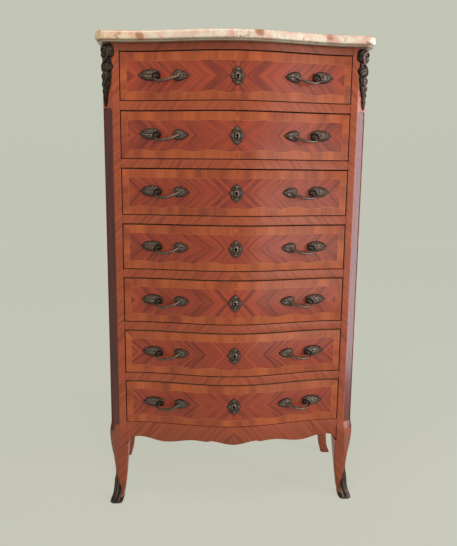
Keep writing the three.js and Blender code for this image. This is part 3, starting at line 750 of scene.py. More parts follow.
@dataclass(frozen=True)
class CaseVeneer:
    """Kingwood veneer of the case, laid on the slant and mirrored about the middle of the front.

    Args:
        name: the material's name.
        timber: the veneer.
        panel: the darker veneer of sunk panels, where the mark panel is 1.
        dirt_and_shade: soiling and painted shade of the gaps along the edges, where the marks low_dirt and
            high_dirt are over 0, and the painted shade by height.
        bend: how far the growth rings wander.
        painted_shade_heights: heights over which the wood is painted darker as shade, down the legs where
            less light reaches and up under the marble in its shadow.
    """

    name: str = "polished_kingwood_veneer"
    timber: Timber = CASEWOOD
    panel: Timber = PANELWOOD
    # Soiling and painted shade: the colour of the gaps along the edges, and of the painted shade by height.
    dirt_and_shade: str = "#2A0F0A"
    bend: float = 0.05
    painted_shade_heights: tuple[tuple[float, float], ...] = ((0.27, 0.18), (1.25, 1.262))

    def build(self) -> bpy.types.Material:
        """Makes the veneer on object coordinates, so that the figure runs on from rail to post.

        Returns:
            The material.
        """
        made, tree = new_material(self.name)
        place = add(tree, "SeparateXYZ", add(tree, "TexCoord", out="Object"))
        x, y, z = (place.node.outputs[k] for k in range(3))
        away = add(tree, "Math", x, operation="ABSOLUTE")
        flat = add(tree, "Math", away, y, operation="ADD")
        spot = add(tree, "CombineXYZ", away, y, z)
        sway = add(tree, "TexNoise", {"Vector": spot, "Scale": 6.0, "Detail": 1.0})
        drift = add(tree, "Math", sway, self.bend, -self.bend / 2, operation="MULTIPLY_ADD")
        slant = add(tree, "Math", z, flat, operation="ADD")
        ring = add(tree, "Math", slant, drift, operation="ADD")
        run = add(tree, "Math", z, flat, operation="SUBTRACT")
        colour, grain = self.timber.figure(tree, ring, run, 2.0)
        dark, _ = self.panel.figure(tree, flat, z, 5.0)
        sunk = add(tree, "Attribute", out="Fac", attribute_name="panel")
        shown = add(tree, "MapRange", sunk, 0.4, 0.6)
        colour = add(tree, "Mix", {0: shown, 6: colour, 7: dark}, out=2, data_type="RGBA")
        # Painted shade of the gaps, with soiling, along the edges of rails and stiles.
        edges = [add(tree, "Attribute", out="Fac", attribute_name=name) for name in ("low_dirt", "high_dirt")]
        edge = add(tree, "Math", edges[0], edges[1], operation="MAXIMUM")
        dirt_and_shade_share = add(tree, "MapRange", edge, 0.05, 0.6, 0.0, 0.8)
        # Painted shade: darker down the legs, and in the marble's shadow on the top rail.
        for low, high in self.painted_shade_heights:
            height_shade = add(tree, "MapRange", z, low, high, 0.0, 0.25)
            dirt_and_shade_share = add(tree, "Math", dirt_and_shade_share, height_shade, operation="MAXIMUM")
        colour = add(tree, "Mix", {0: dirt_and_shade_share, 6: colour, 7: linear(self.dirt_and_shade)}, out=2, data_type="RGBA")
        finish_wood(tree, colour, grain, Polish())
        return made


@dataclass(frozen=True)
class Joinery:
    """Bare quarter-sawn oak, planed and given one coat of wax: straight lines and a dull, dry gloss.

    Args:
        name: the material's name.
        timber: the wood.
        upright: whether the grain runs up rather than across.
    """

    name: str = "planed_oak"
    timber: Timber = OAKWOOD
    upright: bool = False

    def build(self) -> bpy.types.Material:
        """Makes the oak on object coordinates. On level faces its grain runs along x.

        Returns:
            The material.
        """
        made, tree = new_material(self.name)
        place = add(tree, "SeparateXYZ", add(tree, "TexCoord", out="Object"))
        x, y, z = (place.node.outputs[k] for k in range(3))
        normal = add(tree, "SeparateXYZ", add(tree, "NewGeometry", out="True Normal"))
        flat = add(tree, "Math", normal.node.outputs[2], operation="ABSOLUTE")
        round_box = add(tree, "Math", x, y, operation="ADD")
        across = add(tree, "Mix", {0: flat, 2: z, 3: y}, data_type="FLOAT")
        along = add(tree, "Mix", {0: flat, 2: round_box, 3: x}, data_type="FLOAT")
        if self.upright:
            across, along = round_box, z
        colour, grain = self.timber.figure(tree, across, along, 4.0)
        finish_wood(tree, colour, grain, Polish(0.62, 0.0, 0.3, 0.25))
        return made


@dataclass(frozen=True)
class BrecciaMarble:
    """Polished breccia: cream and rosy stone clouded into one another, soft brown patches, fine veins.

    Args:
        name: the material's name.
        cloud: size of the clouds of cream and rose.
        stirred: how far they are drawn into one another.
        patch: distance from one brown patch to the next.
        rose: the rosy stone.
        sand: the tone between.
        cream: the palest stone.
        brown: the patches.
        vein: the veins and specks.
        painted_groove_shade: painted shade in the moulding below the edge, where the mark groove is over 0.
        painted_left_light: a yellower, darker tone painted over the slab's left end, for the warm, dim light
            there.
        turn: x where that painted tone begins, and where it is full.
        spots: rows of place and radius of the large patches on the front edge.
        ragged: how far their edges wander.
    """

    name: str = "polished_breccia_marble"
    cloud: float = 0.045
    stirred: float = 0.03
    patch: float = 0.055
    rose: str = "#E2ADA0"
    sand: str = "#EFCDBE"
    cream: str = "#F9EDDF"
    brown: str = "#A86E48"
    vein: str = "#7A4C3C"
    painted_groove_shade: str = "#857B66"
    painted_left_light: str = "#E9C08F"
    turn: tuple[float, float] = (-0.2, -0.34)
    spots: Rows = ((-0.246, -0.147, 1.291, 0.012), (0.053, -0.186, 1.301, 0.016))
    ragged: float = 0.02

    def build(self) -> bpy.types.Material:
        """Makes the stone. A vein runs where a noise passes its middle value, broken by another noise.

        Returns:
            The material.
        """
        made, tree = new_material(self.name)
        spot = add(tree, "TexCoord", out="Object")
        place = add(tree, "Mapping", spot, (3.1, 1.7, 0.4))
        stir = add(tree, "TexNoise", {"Vector": place, "Scale": 30.0, "Detail": 4.0}, out="Color")
        pushes = {0: stir, 1: (self.stirred,) * 3, 2: place}
        moved = add(tree, "VectorMath", pushes, operation="MULTIPLY_ADD")
        tone = add(tree, "TexNoise", {"Vector": moved, "Scale": 1 / self.cloud, "Detail": 4.0})
        tones = ((0.36, self.rose), (0.46, self.sand), (0.56, self.cream), (0.68, self.sand))
        colour = add(tree, "ValToRGB", tone, stops=tones)
        blots = {"Vector": moved, "Scale": 1 / self.patch, "Detail": 5.0, "Roughness": 0.6}
        patches = add(tree, "MapRange", add(tree, "TexNoise", blots), 0.6, 0.65, 0.0, 0.8)
        # Painted light: the left end is tinted for the warm, dim light that falls there.
        begun, full = self.turn
        from_left = add(tree, "SeparateXYZ", spot)
        turned = add(tree, "MapRange", from_left, begun, full, 0.0, 0.55)
        pushes = {0: stir, 1: (self.ragged,) * 3, 2: spot}
        ragged = add(tree, "VectorMath", pushes, operation="MULTIPLY_ADD")
        for *middle, radius in self.spots:
            # The noise pushes by half its reach on average, so the middle is moved as far.
            pushed = tuple(value + self.ragged / 2 for value in middle)
            away = add(tree, "VectorMath", ragged, pushed, out="Value", operation="DISTANCE")
            large = add(tree, "MapRange", away, radius, 0.6 * radius, 0.0, 0.75)
            patches = add(tree, "Math", patches, large, operation="MAXIMUM")
        crack = add(tree, "TexNoise", {"Vector": moved, "Scale": 26.0, "Detail": 5.0})
        off = add(tree, "Math", crack, 0.5, operation="SUBTRACT")
        off = add(tree, "Math", off, operation="ABSOLUTE")
        near = add(tree, "MapRange", off, 0.014, 0.003)
        broken = add(tree, "MapRange", tone, 0.5, 0.6, 0.0, 0.7)
        veins = add(tree, "Math", near, broken, operation="MULTIPLY")
        # Painted shade in the groove and on the fillet at the foot of the edge.
        groove = add(tree, "Attribute", out="Fac", attribute_name="groove")
        groove_shade = add(tree, "MapRange", {0: groove, 4: 0.8})
        layers = ((turned, self.painted_left_light), (patches, self.brown), (veins, self.vein), (groove_shade, self.painted_groove_shade))
        for share, code in layers:
            colour = add(tree, "Mix", {0: share, 6: colour, 7: linear(code)}, out=2, data_type="RGBA")
        rough = add(tree, "MapRange", {0: tone, 3: 0.2, 4: 0.32})
        surface = {"Base Color": colour, "Roughness": rough, "IOR": 1.56, "Subsurface Weight": 0.05}
        surface |= {"Subsurface Radius": (0.006, 0.004, 0.003), "Subsurface Scale": 1.0}
        add(tree, "OutputMaterial", {"Surface": add(tree, "BsdfPrincipled", surface)})
        return made


@dataclass(frozen=True)
class PatinatedBronze:
    """Cast bronze that has gone dark: green-brown in the hollows and rubbed brighter on what stands out.

    Args:
        name: the material's name.
        hollow: colour where soiling lies.
        body: colour of the patina.
        crest: colour of the rubbed metal.
    """

    name: str = "patinated_cast_bronze"
    hollow: str = "#0C0A09"
    body: str = "#322824"
    crest: str = "#87766C"

    def build(self) -> bpy.types.Material:
        """Makes the bronze by the mark relief, which goes from 0 in the hollows to 1 on the crests.

        Returns:
            The material.
        """
        made, tree = new_material(self.name)
        place = add(tree, "TexCoord", out="Object")
        relief = add(tree, "Attribute", out="Fac", attribute_name="relief")
        mottle = add(tree, "TexNoise", {"Vector": place, "Scale": 260.0, "Detail": 4.0})
        share = add(tree, "Math", mottle, 0.5, -0.25, operation="MULTIPLY_ADD")
        worn = add(tree, "Math", relief, share, operation="ADD")
        tones = ((0.18, self.hollow), (0.5, self.body), (0.95, self.crest))
        colour = add(tree, "ValToRGB", worn, stops=tones)
        rough = add(tree, "MapRange", worn, 0.2, 0.95, 0.62, 0.34)
        pits = add(tree, "Bump", {"Strength": 0.3, "Distance": 0.0003, "Height": mottle})
        surface = {"Base Color": colour, "Metallic": 0.85, "Roughness": rough, "Normal": pits}
        add(tree, "OutputMaterial", {"Surface": add(tree, "BsdfPrincipled", surface)})
        return made


@dataclass(frozen=True)
class LockSteel:
    """Filed and oiled steel of the locks: fine lengthwise file marks and a grey sheen.

    Args:
        name: the material's name.
        bright: the ridges between the file marks.
        dull: the file marks.
        stroke: distance along one file mark.
        spacing: distance from one file mark to the next.
    """

    name: str = "filed_lock_steel"
    bright: str = "#8E8F8C"
    dull: str = "#6C6D6B"
    stroke: float = 1 / 60
    spacing: float = 0.0004

    def build(self) -> bpy.types.Material:
        """Makes the steel, with file marks from noise that is long in one direction.

        Returns:
            The material.
        """
        made, tree = new_material(self.name)
        spot = add(tree, "TexCoord", out="Object")
        place = add(tree, "Mapping", {0: spot, 3: (1 / self.stroke, 1 / self.spacing, 1 / self.spacing)})
        marks = add(tree, "TexNoise", {"Vector": place, "Scale": 1.0, "Detail": 2.0})
        colour = add(tree, "ValToRGB", marks, stops=((0.3, self.dull), (0.7, self.bright)))
        rough = add(tree, "MapRange", {0: marks, 3: 0.42, 4: 0.3})
        surface = {"Base Color": colour, "Metallic": 1.0, "Roughness": rough}
        add(tree, "OutputMaterial", {"Surface": add(tree, "BsdfPrincipled", surface)})
        return made


@dataclass(frozen=True)
class Finish:
    """A material of the chest.

    Args:
        material: the material.
        slot: the record's slot that it belongs to.
    """

    material: bpy.types.Material
    slot: Slot


@dataclass(frozen=True)
class Finishes:
    """The finishes of the chest, each made once.

    Args:
        front: marquetry of the drawer fronts.
        flank: marquetry of the sides.
        veneer: of posts, rails and apron.
        oak: of the drawer boxes and the boards between them.
        boards: oak with upright grain, of the back.
        marble: of the top.
        bronze: of the mounts.
        steel: of the locks.
    """

    front: Finish
    flank: Finish
    veneer: Finish
    oak: Finish
    boards: Finish
    marble: Finish
    bronze: Finish
    steel: Finish

    @classmethod
    def build(cls, front: tuple[float, float], flank: tuple[float, float]) -> "Finishes":
        """Makes every material.

        Args:
            front: half the width and half the height of a drawer front.
            flank: half the width and half the height of a side panel.

        Returns:
            The finishes.
        """
        borders = {"side": 0.03, "upper": 0.04, "lower": 0.04, "wave": 0.0}
        return cls(
            front=Finish(Marquetry("drawer_front_marquetry", *front).build(), Slot.MARQUETRY),
            flank=Finish(Marquetry("case_side_marquetry", *flank, **borders).build(), Slot.VENEER),
            veneer=Finish(CaseVeneer().build(), Slot.VENEER),
            oak=Finish(Joinery().build(), Slot.OAK),
            boards=Finish(Joinery("planed_oak_boards", upright=True).build(), Slot.OAK),
            marble=Finish(BrecciaMarble().build(), Slot.MARBLE),
            bronze=Finish(PatinatedBronze().build(), Slot.BRONZE),
            steel=Finish(LockSteel().build(), Slot.STEEL),
        )


@dataclass(frozen=True)
class Part:
    """What every part of the chest knows.

    Args:
        layout: where the case and its front stand.
        finishes: the chest's finishes.
        body: the body of the frame that the part moves with.
    """

    layout: Layout
    finishes: Finishes
    body: str = "carcass"

    def dress(
        self,
        name: str,
        skins: Skin | list[Skin],
        finish: Finish,
        node: str,
        sharp: float = 38.0,
        pocket: Skin | None = None,
    ) -> None:
        """Makes a piece of the part, sets it on the body and reports it.

        Args:
            name: the piece's name.
            skins: its surface, or several that make up one piece.
            finish: its finish.
            node: the frame's node that it stands for.
            sharp: the angle in degrees above which an edge stays crisp.
            pocket: what is cut out of it.
        """
        made = mesh_object(name, joined(skins) if isinstance(skins, list) else skins, sharp)
        if pocket is not None:
            carve(made, pocket, sharp)
        made.data.materials.clear()
        made.data.materials.append(finish.material)
        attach(made, self.body)
        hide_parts(node)
        LOG.info("%s: %d faces, on %s", name, len(made.data.polygons), self.body)


# Marble


@dataclass(frozen=True)
class MarbleTop(Part):
    """The marble slab with its canted corners and moulded edge.

    Args:
        front_overhang: how far it stands over the front.
        side_overhang: how far it stands over the sides.
        back_overhang: how far it stands over the back.
        cant: how much of each front corner is cut off.
        thickness: from the underside to the top, in millimetres like the sizes of its edge.
        foot: rows of inset and height of the fillet and the groove at the foot of the edge.
        under: width and height of the round below the wide face.
        over: width and height of the round above it.
        flat: inset where the flat top begins.
        soft: how far from a corner of the outline its rounding starts.
        steps: points along the front.
    """

    front_overhang: float = 0.0195
    side_overhang: float = 0.013
    back_overhang: float = 0.002
    cant: float = 0.017
    thickness: float = 26.3
    foot: Rows = ((5.3, 0.0), (4.9, 0.4), (4.8, 2.1), (5.1, 2.5), (7.4, 2.8), (7.4, 4.1), (6.9, 4.4))
    under: tuple[float, float] = (6.6, 4.8)
    over: tuple[float, float] = (5.8, 7.1)
    flat: float = 8.0
    soft: float = 0.006
    steps: int = 160

    def profile(self) -> Array:
        """The edge: a thin fillet, a groove, and a wide face whose rounds are quarters of an ellipse.

        Returns:
            Inset and height, n x 2.
        """
        a = np.linspace(0, np.pi / 2, 10)
        ledge, shoulder = self.foot[-1][1], self.thickness - self.over[1]
        under = np.stack([self.under[0] * (1 - np.sin(a)), ledge + self.under[1] * (1 - np.cos(a))], 1)
        over = np.stack([self.over[0] * (1 - np.cos(a)), shoulder + self.over[1] * np.sin(a)], 1)
        return np.concatenate([self.foot, under, over, [[self.flat, self.thickness]]]) * MM

    def outline(self, inset: Array) -> Array:
        """The outline in plan for each inset.

        The front follows the case, set out by the overhang, and each outer corner is a quadratic
        curve between points a little way along the two edges that meet there.

        Args:
            inset: how far the outline is drawn in, n.

        Returns:
            n x stations x 2.
        """
        inset = inset[:, None]
        case = self.layout
        half = case.case_half + self.side_overhang - inset
        front = case.stile_y - self.front_overhang + inset
        turn = self.cant + inset * (math.sqrt(2) - 1)
        one = np.ones_like(inset)
        back = case.back_y + self.back_overhang
        corners = np.stack(
            [
                np.concatenate([half, back * one], 1),
                np.concatenate([half, front + turn - inset], 1),
                np.concatenate([half - turn + inset, front], 1),
                np.concatenate([case.opening_half * one, front], 1),
            ],
            1,
        )
        ahead = corners[:, 1:] - corners[:, :-1]
        ahead /= np.linalg.norm(ahead, axis=-1)[..., None]
        s = np.linspace(0, 1, 7)[None, :, None]
        bends = [
            (1 - s) ** 2 * (corners[:, k, None] - self.soft * ahead[:, k - 1, None])
            + 2 * s * (1 - s) * corners[:, k, None]
            + s**2 * (corners[:, k, None] + self.soft * ahead[:, k, None])
            for k in (1, 2)
        ]
        right = np.concatenate([corners[:, :1], *bends], 1)
        xs = np.linspace(case.opening_half, -case.opening_half, self.steps + 1)
        xs = np.broadcast_to(xs, (len(inset), len(xs)))
        middle = np.stack([xs, case.front(xs) - self.front_overhang + inset], -1)
        return np.concatenate([right, middle, right[:, ::-1] * [-1, 1]], 1)

    def build(self) -> None:
        """Makes the slab, ring by ring up its edge."""
        inset, height = self.profile().T
        rings = raised(self.outline(inset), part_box("marble_top")[0].z + height[:, None])
        # The mark groove sets where the painted shade lies at the foot of the edge.
        groove = np.clip(1.7 - height / (self.foot[-1][1] * MM), 0, 1)[:, None]
        self.dress("marble_slab", shell(rings, groove=groove), self.finishes.marble, "marble_top", 25.0)


# Posts and legs

# Share of the leg's height, swing, how far the inner faces are drawn in across and from behind, the
# cant and the rounding of the edges, each as a share of the size that a post gives it.
LEG_SHARES: Rows = (
    (0, 0.3, 0.4, 0.42, 0.32, 1.6),
    (0.05, 0.02, 0.32, 0.42, 0.32, 1.45),
    (0.12, -0.33, 0.21, 0.43, 0.33, 1.25),
    (0.25, -0.52, 0.11, 0.42, 0.34, 1.1),
    (0.35, -0.62, 0.05, 0.4, 0.35, 1),
    (0.42, -0.58, 0.02, 0.36, 0.38, 0.95),
    (0.54, -0.38, -0.03, 0.24, 0.48, 0.8),
    (0.67, -0.04, -0.07, 0.1, 0.72, 0.6),
    (0.79, 0.2, -0.1, 0.02, 0.93, 0.4),
    (0.9, 0.24, -0.1, 0, 1, 0.3),
    (1, 0, -0.1, 0, 1, 0.2),
)
# Places across a sunk panel from -1 to 1: where points lie, the edge of what sinks, and how far out
# the points still draw in with the panel's width. All other points have NO_PANEL.
PANEL_SHARES = (-0.97, -0.93, -0.9, -0.7, -0.35, 0.0, 0.35, 0.7, 0.9, 0.93, 0.97)
PANEL_EDGE_SHARE = 0.915
STRIP_SHARE = 0.95
NO_PANEL = 2.0


@dataclass(frozen=True)
class Stations:
    """Where the points of a post's section lie.

    Args:
        corner: the corner that each point belongs to, from the inner front one round.
        share: up to 1 the way round that corner's curve, from 1 to 2 the way to the next corner.
        panel: place across the cant from -1 to 1 for the points that sink with its panel, else 2.
    """

    corner: Array
    share: Array
    panel: Array

    @classmethod
    def around(cls, curve: int, faces: tuple[int, ...], sunk: bool) -> "Stations":
        """Points round the five corners, and evenly on each face after its corner.

        Args:
            curve: how many points each corner has.
            faces: how many points each face has.
            sunk: whether the cant, the face after the second corner, holds a sunk panel.

        Returns:
            The stations.
        """
        corner, share, panel = [], [], []
        for k, count in enumerate(faces):
            face = 1 + np.arange(1, count + 1) / (count + 1)
            place = np.full(count, NO_PANEL)
            if sunk and k == 1:
                place = np.array(PANEL_SHARES)
                face = 1.5 + place / 2
            corner.append(np.full(curve + len(face), k))
            share.append(np.concatenate([np.linspace(0, 1, curve), face]))
            panel.append(np.concatenate([np.full(curve, NO_PANEL), place]))
        return cls(*(np.concatenate(part) for part in (corner, share, panel)))


@dataclass(frozen=True)
class Post:
    """A corner post and its leg: the corners of its section, and how they move with the height.

    Args:
        outer: the outer face, as a distance from the middle.
        inner: the inner face.
        front: the front face.
        back: the back face.
        cant: width and depth of the cant across the outer front corner.
        forward: whether the leg swings to the front as well as outward.
        foot: the lowest height.
        top: the highest height.
        leg: height of the leg.
        sweep: how far the leg swings for one share of the table.
        rounding: radius of the leg's edges for one share of the table.
        shoulder: height where the inner faces of the leg draw in.
        recess: depth of the panel in the cant.
        recess_foot: lower end of the panel.
        recess_head: upper end of the panel.
        corners: height of the panel's rounded corners, at its foot and its head.
        arris: how far the edges of the cant are softened.
        belly: how far the knee is rounded out where the cant runs down it.
        belly_rise: height over which the belly grows below the shoulder.
        tilt: how far the foot of the panel falls to the outer edge, from its middle.
        tilt_rise: height over which the tilt fades away.
        seam_foot: where the soiling and painted shade of the gap begin along the edge next to the drawers.
    """

    outer: float
    inner: float
    front: float
    back: float
    cant: tuple[float, float]
    forward: bool
    foot: float
    top: float
    leg: float = 0.24
    sweep: float = 0.016
    rounding: float = 0.007
    shoulder: float = 0.1862
    recess: float = 0.0
    recess_foot: float = 0.228
    recess_head: float = 1.117
    corners: tuple[float, float] = (0.004, 0.016)
    arris: float = 0.0009
    belly: float = 0.0022
    belly_rise: float = 0.06
    tilt: float = 0.013
    tilt_rise: float = 0.032
    seam_foot: float = 0.2495

    def arch(self, heights: Array) -> Array:
        """How wide the panel is at a height: full, with rounded corners at both its ends.

        Over the last stretch the share is the cube root of 1 - t^3, where t goes from 0 to 1 at the
        panel's end. Beyond the panel it opens again, where the cant is flat and nothing shows.

        Args:
            heights: the heights.

        Returns:
            The width as a share, of the same shape.
        """
        below = (self.recess_foot + self.corners[0] - heights) / self.corners[0]
        above = (heights - self.recess_head + self.corners[1]) / self.corners[1]
        beyond = np.maximum(self.recess_foot - heights, heights - self.recess_head)
        inside = np.cbrt(np.clip(1 - np.clip(np.maximum(below, above), 0, 1) ** 3, 1e-5, 1))
        return np.where(beyond > 0, np.clip(beyond / 0.012, 0.02, 1), inside)

    def surface(
        self, side: int, heights: Array, growth: Array | float, stations: Stations
    ) -> tuple[Array, Array]:
        """Points of the post's skin.

        A section has five corners. A point on a corner is on the quadratic curve between the two
        trimmed edges, and a point on a face lies on the straight line to the next corner.

        Args:
            side: -1 on the left, 1 on the right.
            heights: the height of each point, levels x stations.
            growth: how far the skin stands off the wood.
            stations: where the points lie round the section.

        Returns:
            The points, levels x stations x 3, and how much each belongs to the dark veneer, which
            covers the sunk panel and the narrow strip outside it.
        """
        level = heights
        inside = stations.panel < NO_PANEL
        fade = np.clip(1 - ((level - self.recess_foot) / self.tilt_rise) ** 2, 0, 1)
        heights = level - self.tilt * np.where(inside, stations.panel, 0) * fade
        rows = smooth_rows(LEG_SHARES, np.clip(heights / self.leg, 0, 1))
        swing, drawn, drawn_back, cant, rounding = (rows[..., k] for k in range(5))
        drawn = np.where(heights < self.shoulder, drawn, 0)
        drawn_back = np.where(heights < self.shoulder, drawn_back, 0)
        swing = self.sweep * swing
        radius = self.rounding * rounding
        growth = np.broadcast_to(growth, heights.shape)
        outer = self.outer + swing + growth
        inner = self.inner + drawn * (self.outer - self.inner) - growth
        depth = self.back - self.front
        front = (self.front - swing if self.forward else self.front + drawn_back * depth) - growth
        back = (self.back - drawn_back * depth if self.forward else self.back + 0 * drawn) + growth
        across, deep = self.cant[0] * cant, self.cant[1] * cant
        corners = np.stack(
            [
                np.stack([inner, front], -1),
                np.stack([outer - across, front], -1),
                np.stack([outer, front + deep], -1),
                np.stack([outer, back], -1),
                np.stack([inner, back], -1),
            ]
        )
        arris = np.maximum(self.arris, 0.25 * across * (1 - cant))
        trims = np.stack([radius, arris, arris, radius, radius])
        ahead = np.roll(corners, -1, axis=0) - corners
        ahead /= np.linalg.norm(ahead, axis=-1)[..., None]
        behind = np.roll(ahead, 1, axis=0)
        k, n = stations.corner, np.arange(len(stations.corner))
        after = (k + 1) % 5

        def pick(values: Array, which: Array) -> Array:
            """The values of one corner for each station, as levels x stations."""
            return np.moveaxis(values[which, :, n], 0, 1)

        start = pick(corners - trims[..., None] * behind, k)
        end = pick(corners + trims[..., None] * ahead, k)
        far = pick(corners - trims[..., None] * behind, after)
        s = stations.share[None, :, None]
        bend = (1 - s) ** 2 * start + 2 * s * (1 - s) * pick(corners, k) + s**2 * end
        drawn_place = 1.5 + stations.panel / 2 * self.arch(level)
        moves = inside & (np.abs(stations.panel) <= STRIP_SHARE)
        place = np.where(moves, drawn_place, stations.share)[..., None]
        flat = np.where(s <= 1, bend, end + (place - 1) * (far - end))
        beside = (level > self.recess_foot) & (level < self.recess_head) & inside
        within = beside & (np.abs(stations.panel) < PANEL_EDGE_SHARE)
        inward = np.stack([-deep, across], -1) / np.hypot(across, deep)[..., None]
        round_share = np.clip(1 - stations.panel**2, 0, 1)
        belly = self.belly * round_share * np.clip((self.shoulder - heights) / self.belly_rise, 0, 1)
        flat = flat + inward * (self.recess * within - belly)[..., None]
        veneered = beside & (stations.panel > -PANEL_EDGE_SHARE)
        return np.stack([side * flat[..., 0], flat[..., 1], heights], -1), veneered.astype(float)

    def levels(self) -> Array:
        """Heights at which the post is drawn, close together on the leg and at the panel's ends.

        Returns:
            The heights, from the foot up.
        """
        low, high, step = self.recess_foot, self.recess_head, 0.0001
        parts = [
            np.linspace(self.foot, self.shoulder - 6 * step, 72),
            np.linspace(self.shoulder, low - 10 * step, 12),
        ]
        if self.recess:
            arc = self.corners[1] * (1 - np.cos(np.linspace(0, np.pi / 2, 14)))
            parts += [low + arc, np.linspace(low + 0.03, high - 0.03, 24), high - arc]
            parts += [[low - step, high + step], np.linspace(high + 30 * step, self.top, 6)]
        else:
            parts += [np.linspace(low, self.top, 20)]
        return np.unique(np.concatenate(parts).round(6))

    def skin(self, side: int, sunk: bool) -> Skin:
        """The whole post.

        Args:
            side: -1 on the left, 1 on the right.
            sunk: whether the cant holds a sunk panel.

        Returns:
            The closed skin, with soiling and painted gap shade along its inner edge beside the drawers.
        """
        stations = Stations.around(6, (3, 2, 3, 2, 2), sunk)
        heights = np.repeat(self.levels()[:, None], len(stations.corner), 1)
        points, panel = self.surface(side, heights, 0.0, stations)
        # Soiling and painted shade of the gap along the inner edge beside the drawers.
        from_inner = (np.abs(points[..., 0]) - self.inner) / MM
        return shell(points, panel=panel, low_dirt=np.where(heights > self.seam_foot, 1 - from_inner, 0))


def front_post(layout: Layout) -> Post:
    """The front post's sizes in this case.

    Args:
        layout: where the case stands.

    Returns:
        The post.
    """
    return Post(
        outer=layout.case_half,
        inner=layout.opening_half,
        front=layout.stile_y,
        back=layout.stile_y + 0.05,
        cant=layout.cant,
        forward=True,
        foot=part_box("front_right_post")[0].z,
        top=layout.case_top,
        recess=0.0011,
    )


@dataclass(frozen=True)
class FrontPosts(Part):
    """The two front posts, each with its stile, canted corner, sunk panel and cabriole leg."""

    def build(self) -> None:
        """Makes both posts."""
        for hand in Hand:
            node, skin = f"front_{hand.name.lower()}_post", front_post(self.layout).skin(hand.value, True)
            self.dress(node.replace("post", "stile_and_leg"), skin, self.finishes.veneer, node, 32.0)


@dataclass(frozen=True)
class CaseSides(Part):
    """The two sides: a veneered panel with a shaped lower edge, and the rear post with its leg.

    Args:
        drop: how far the shaped edge hangs below the lowest drawer, at most.
        edge_shares: how much of the drop there is along the side.
        arris: how far the edges are softened.
    """

    drop: float = 0.063
    edge_shares: Rows = ((0, 1), (0.13, 0.74), (0.5, 0.95), (0.87, 0.74), (1, 1))
    arris: float = 0.0012

    def panel(self, side: int) -> Skin:
        """The panel: an upright section with rounded arrises, carried from front to back.

        Args:
            side: -1 on the left, 1 on the right.

        Returns:
            The closed skin, with the uv map that its marquetry reads.
        """
        case = self.layout
        start, end = case.panel_ends
        ys = np.linspace(start, end, 61)
        share = np.clip((ys - start) / (end - case.lap - start), 0, 1)
        foot = case.base - self.drop * wavy_rows(self.edge_shares, share)
        low = np.stack([np.full_like(ys, case.case_half - case.side_board), foot], -1)
        section = rounded_box(low, (case.case_half, case.case_top), np.full(len(ys), self.arris), 4)
        depth = np.broadcast_to(ys[:, None], section.shape[:2])
        points = np.stack([side * section[..., 0], depth, section[..., 1]], -1)
        middle = (case.base + case.case_top) / 2
        uv = np.stack([depth - (start + end) / 2, section[..., 1] - middle], -1)
        outside = section[..., 0] > case.case_half - self.arris - 0.0001
        return shell(points, uv=uv, veneer=outside, seed=np.full(section.shape[:2], 20.0 + side))

    def build(self) -> None:
        """Makes both sides with their rear posts."""
        case = self.layout
        post = Post(
            outer=case.case_half,
            inner=case.case_half - case.rear_width,
            front=case.back_y - case.rear_depth,
            back=case.back_y,
            cant=(case.lap, case.lap),
            forward=False,
            foot=0.0,
            top=case.case_top,
        )
        for hand in Hand:
            name, panel, leg = hand.name.lower(), self.panel(hand.value), post.skin(hand.value, False)
            self.dress(f"{name}_side_panel", panel, self.finishes.flank, f"{name}_side")
            self.dress(f"rear_{name}_post_and_leg", leg, self.finishes.veneer, f"{name}_side", 32.0)


# Front rails, boards and back


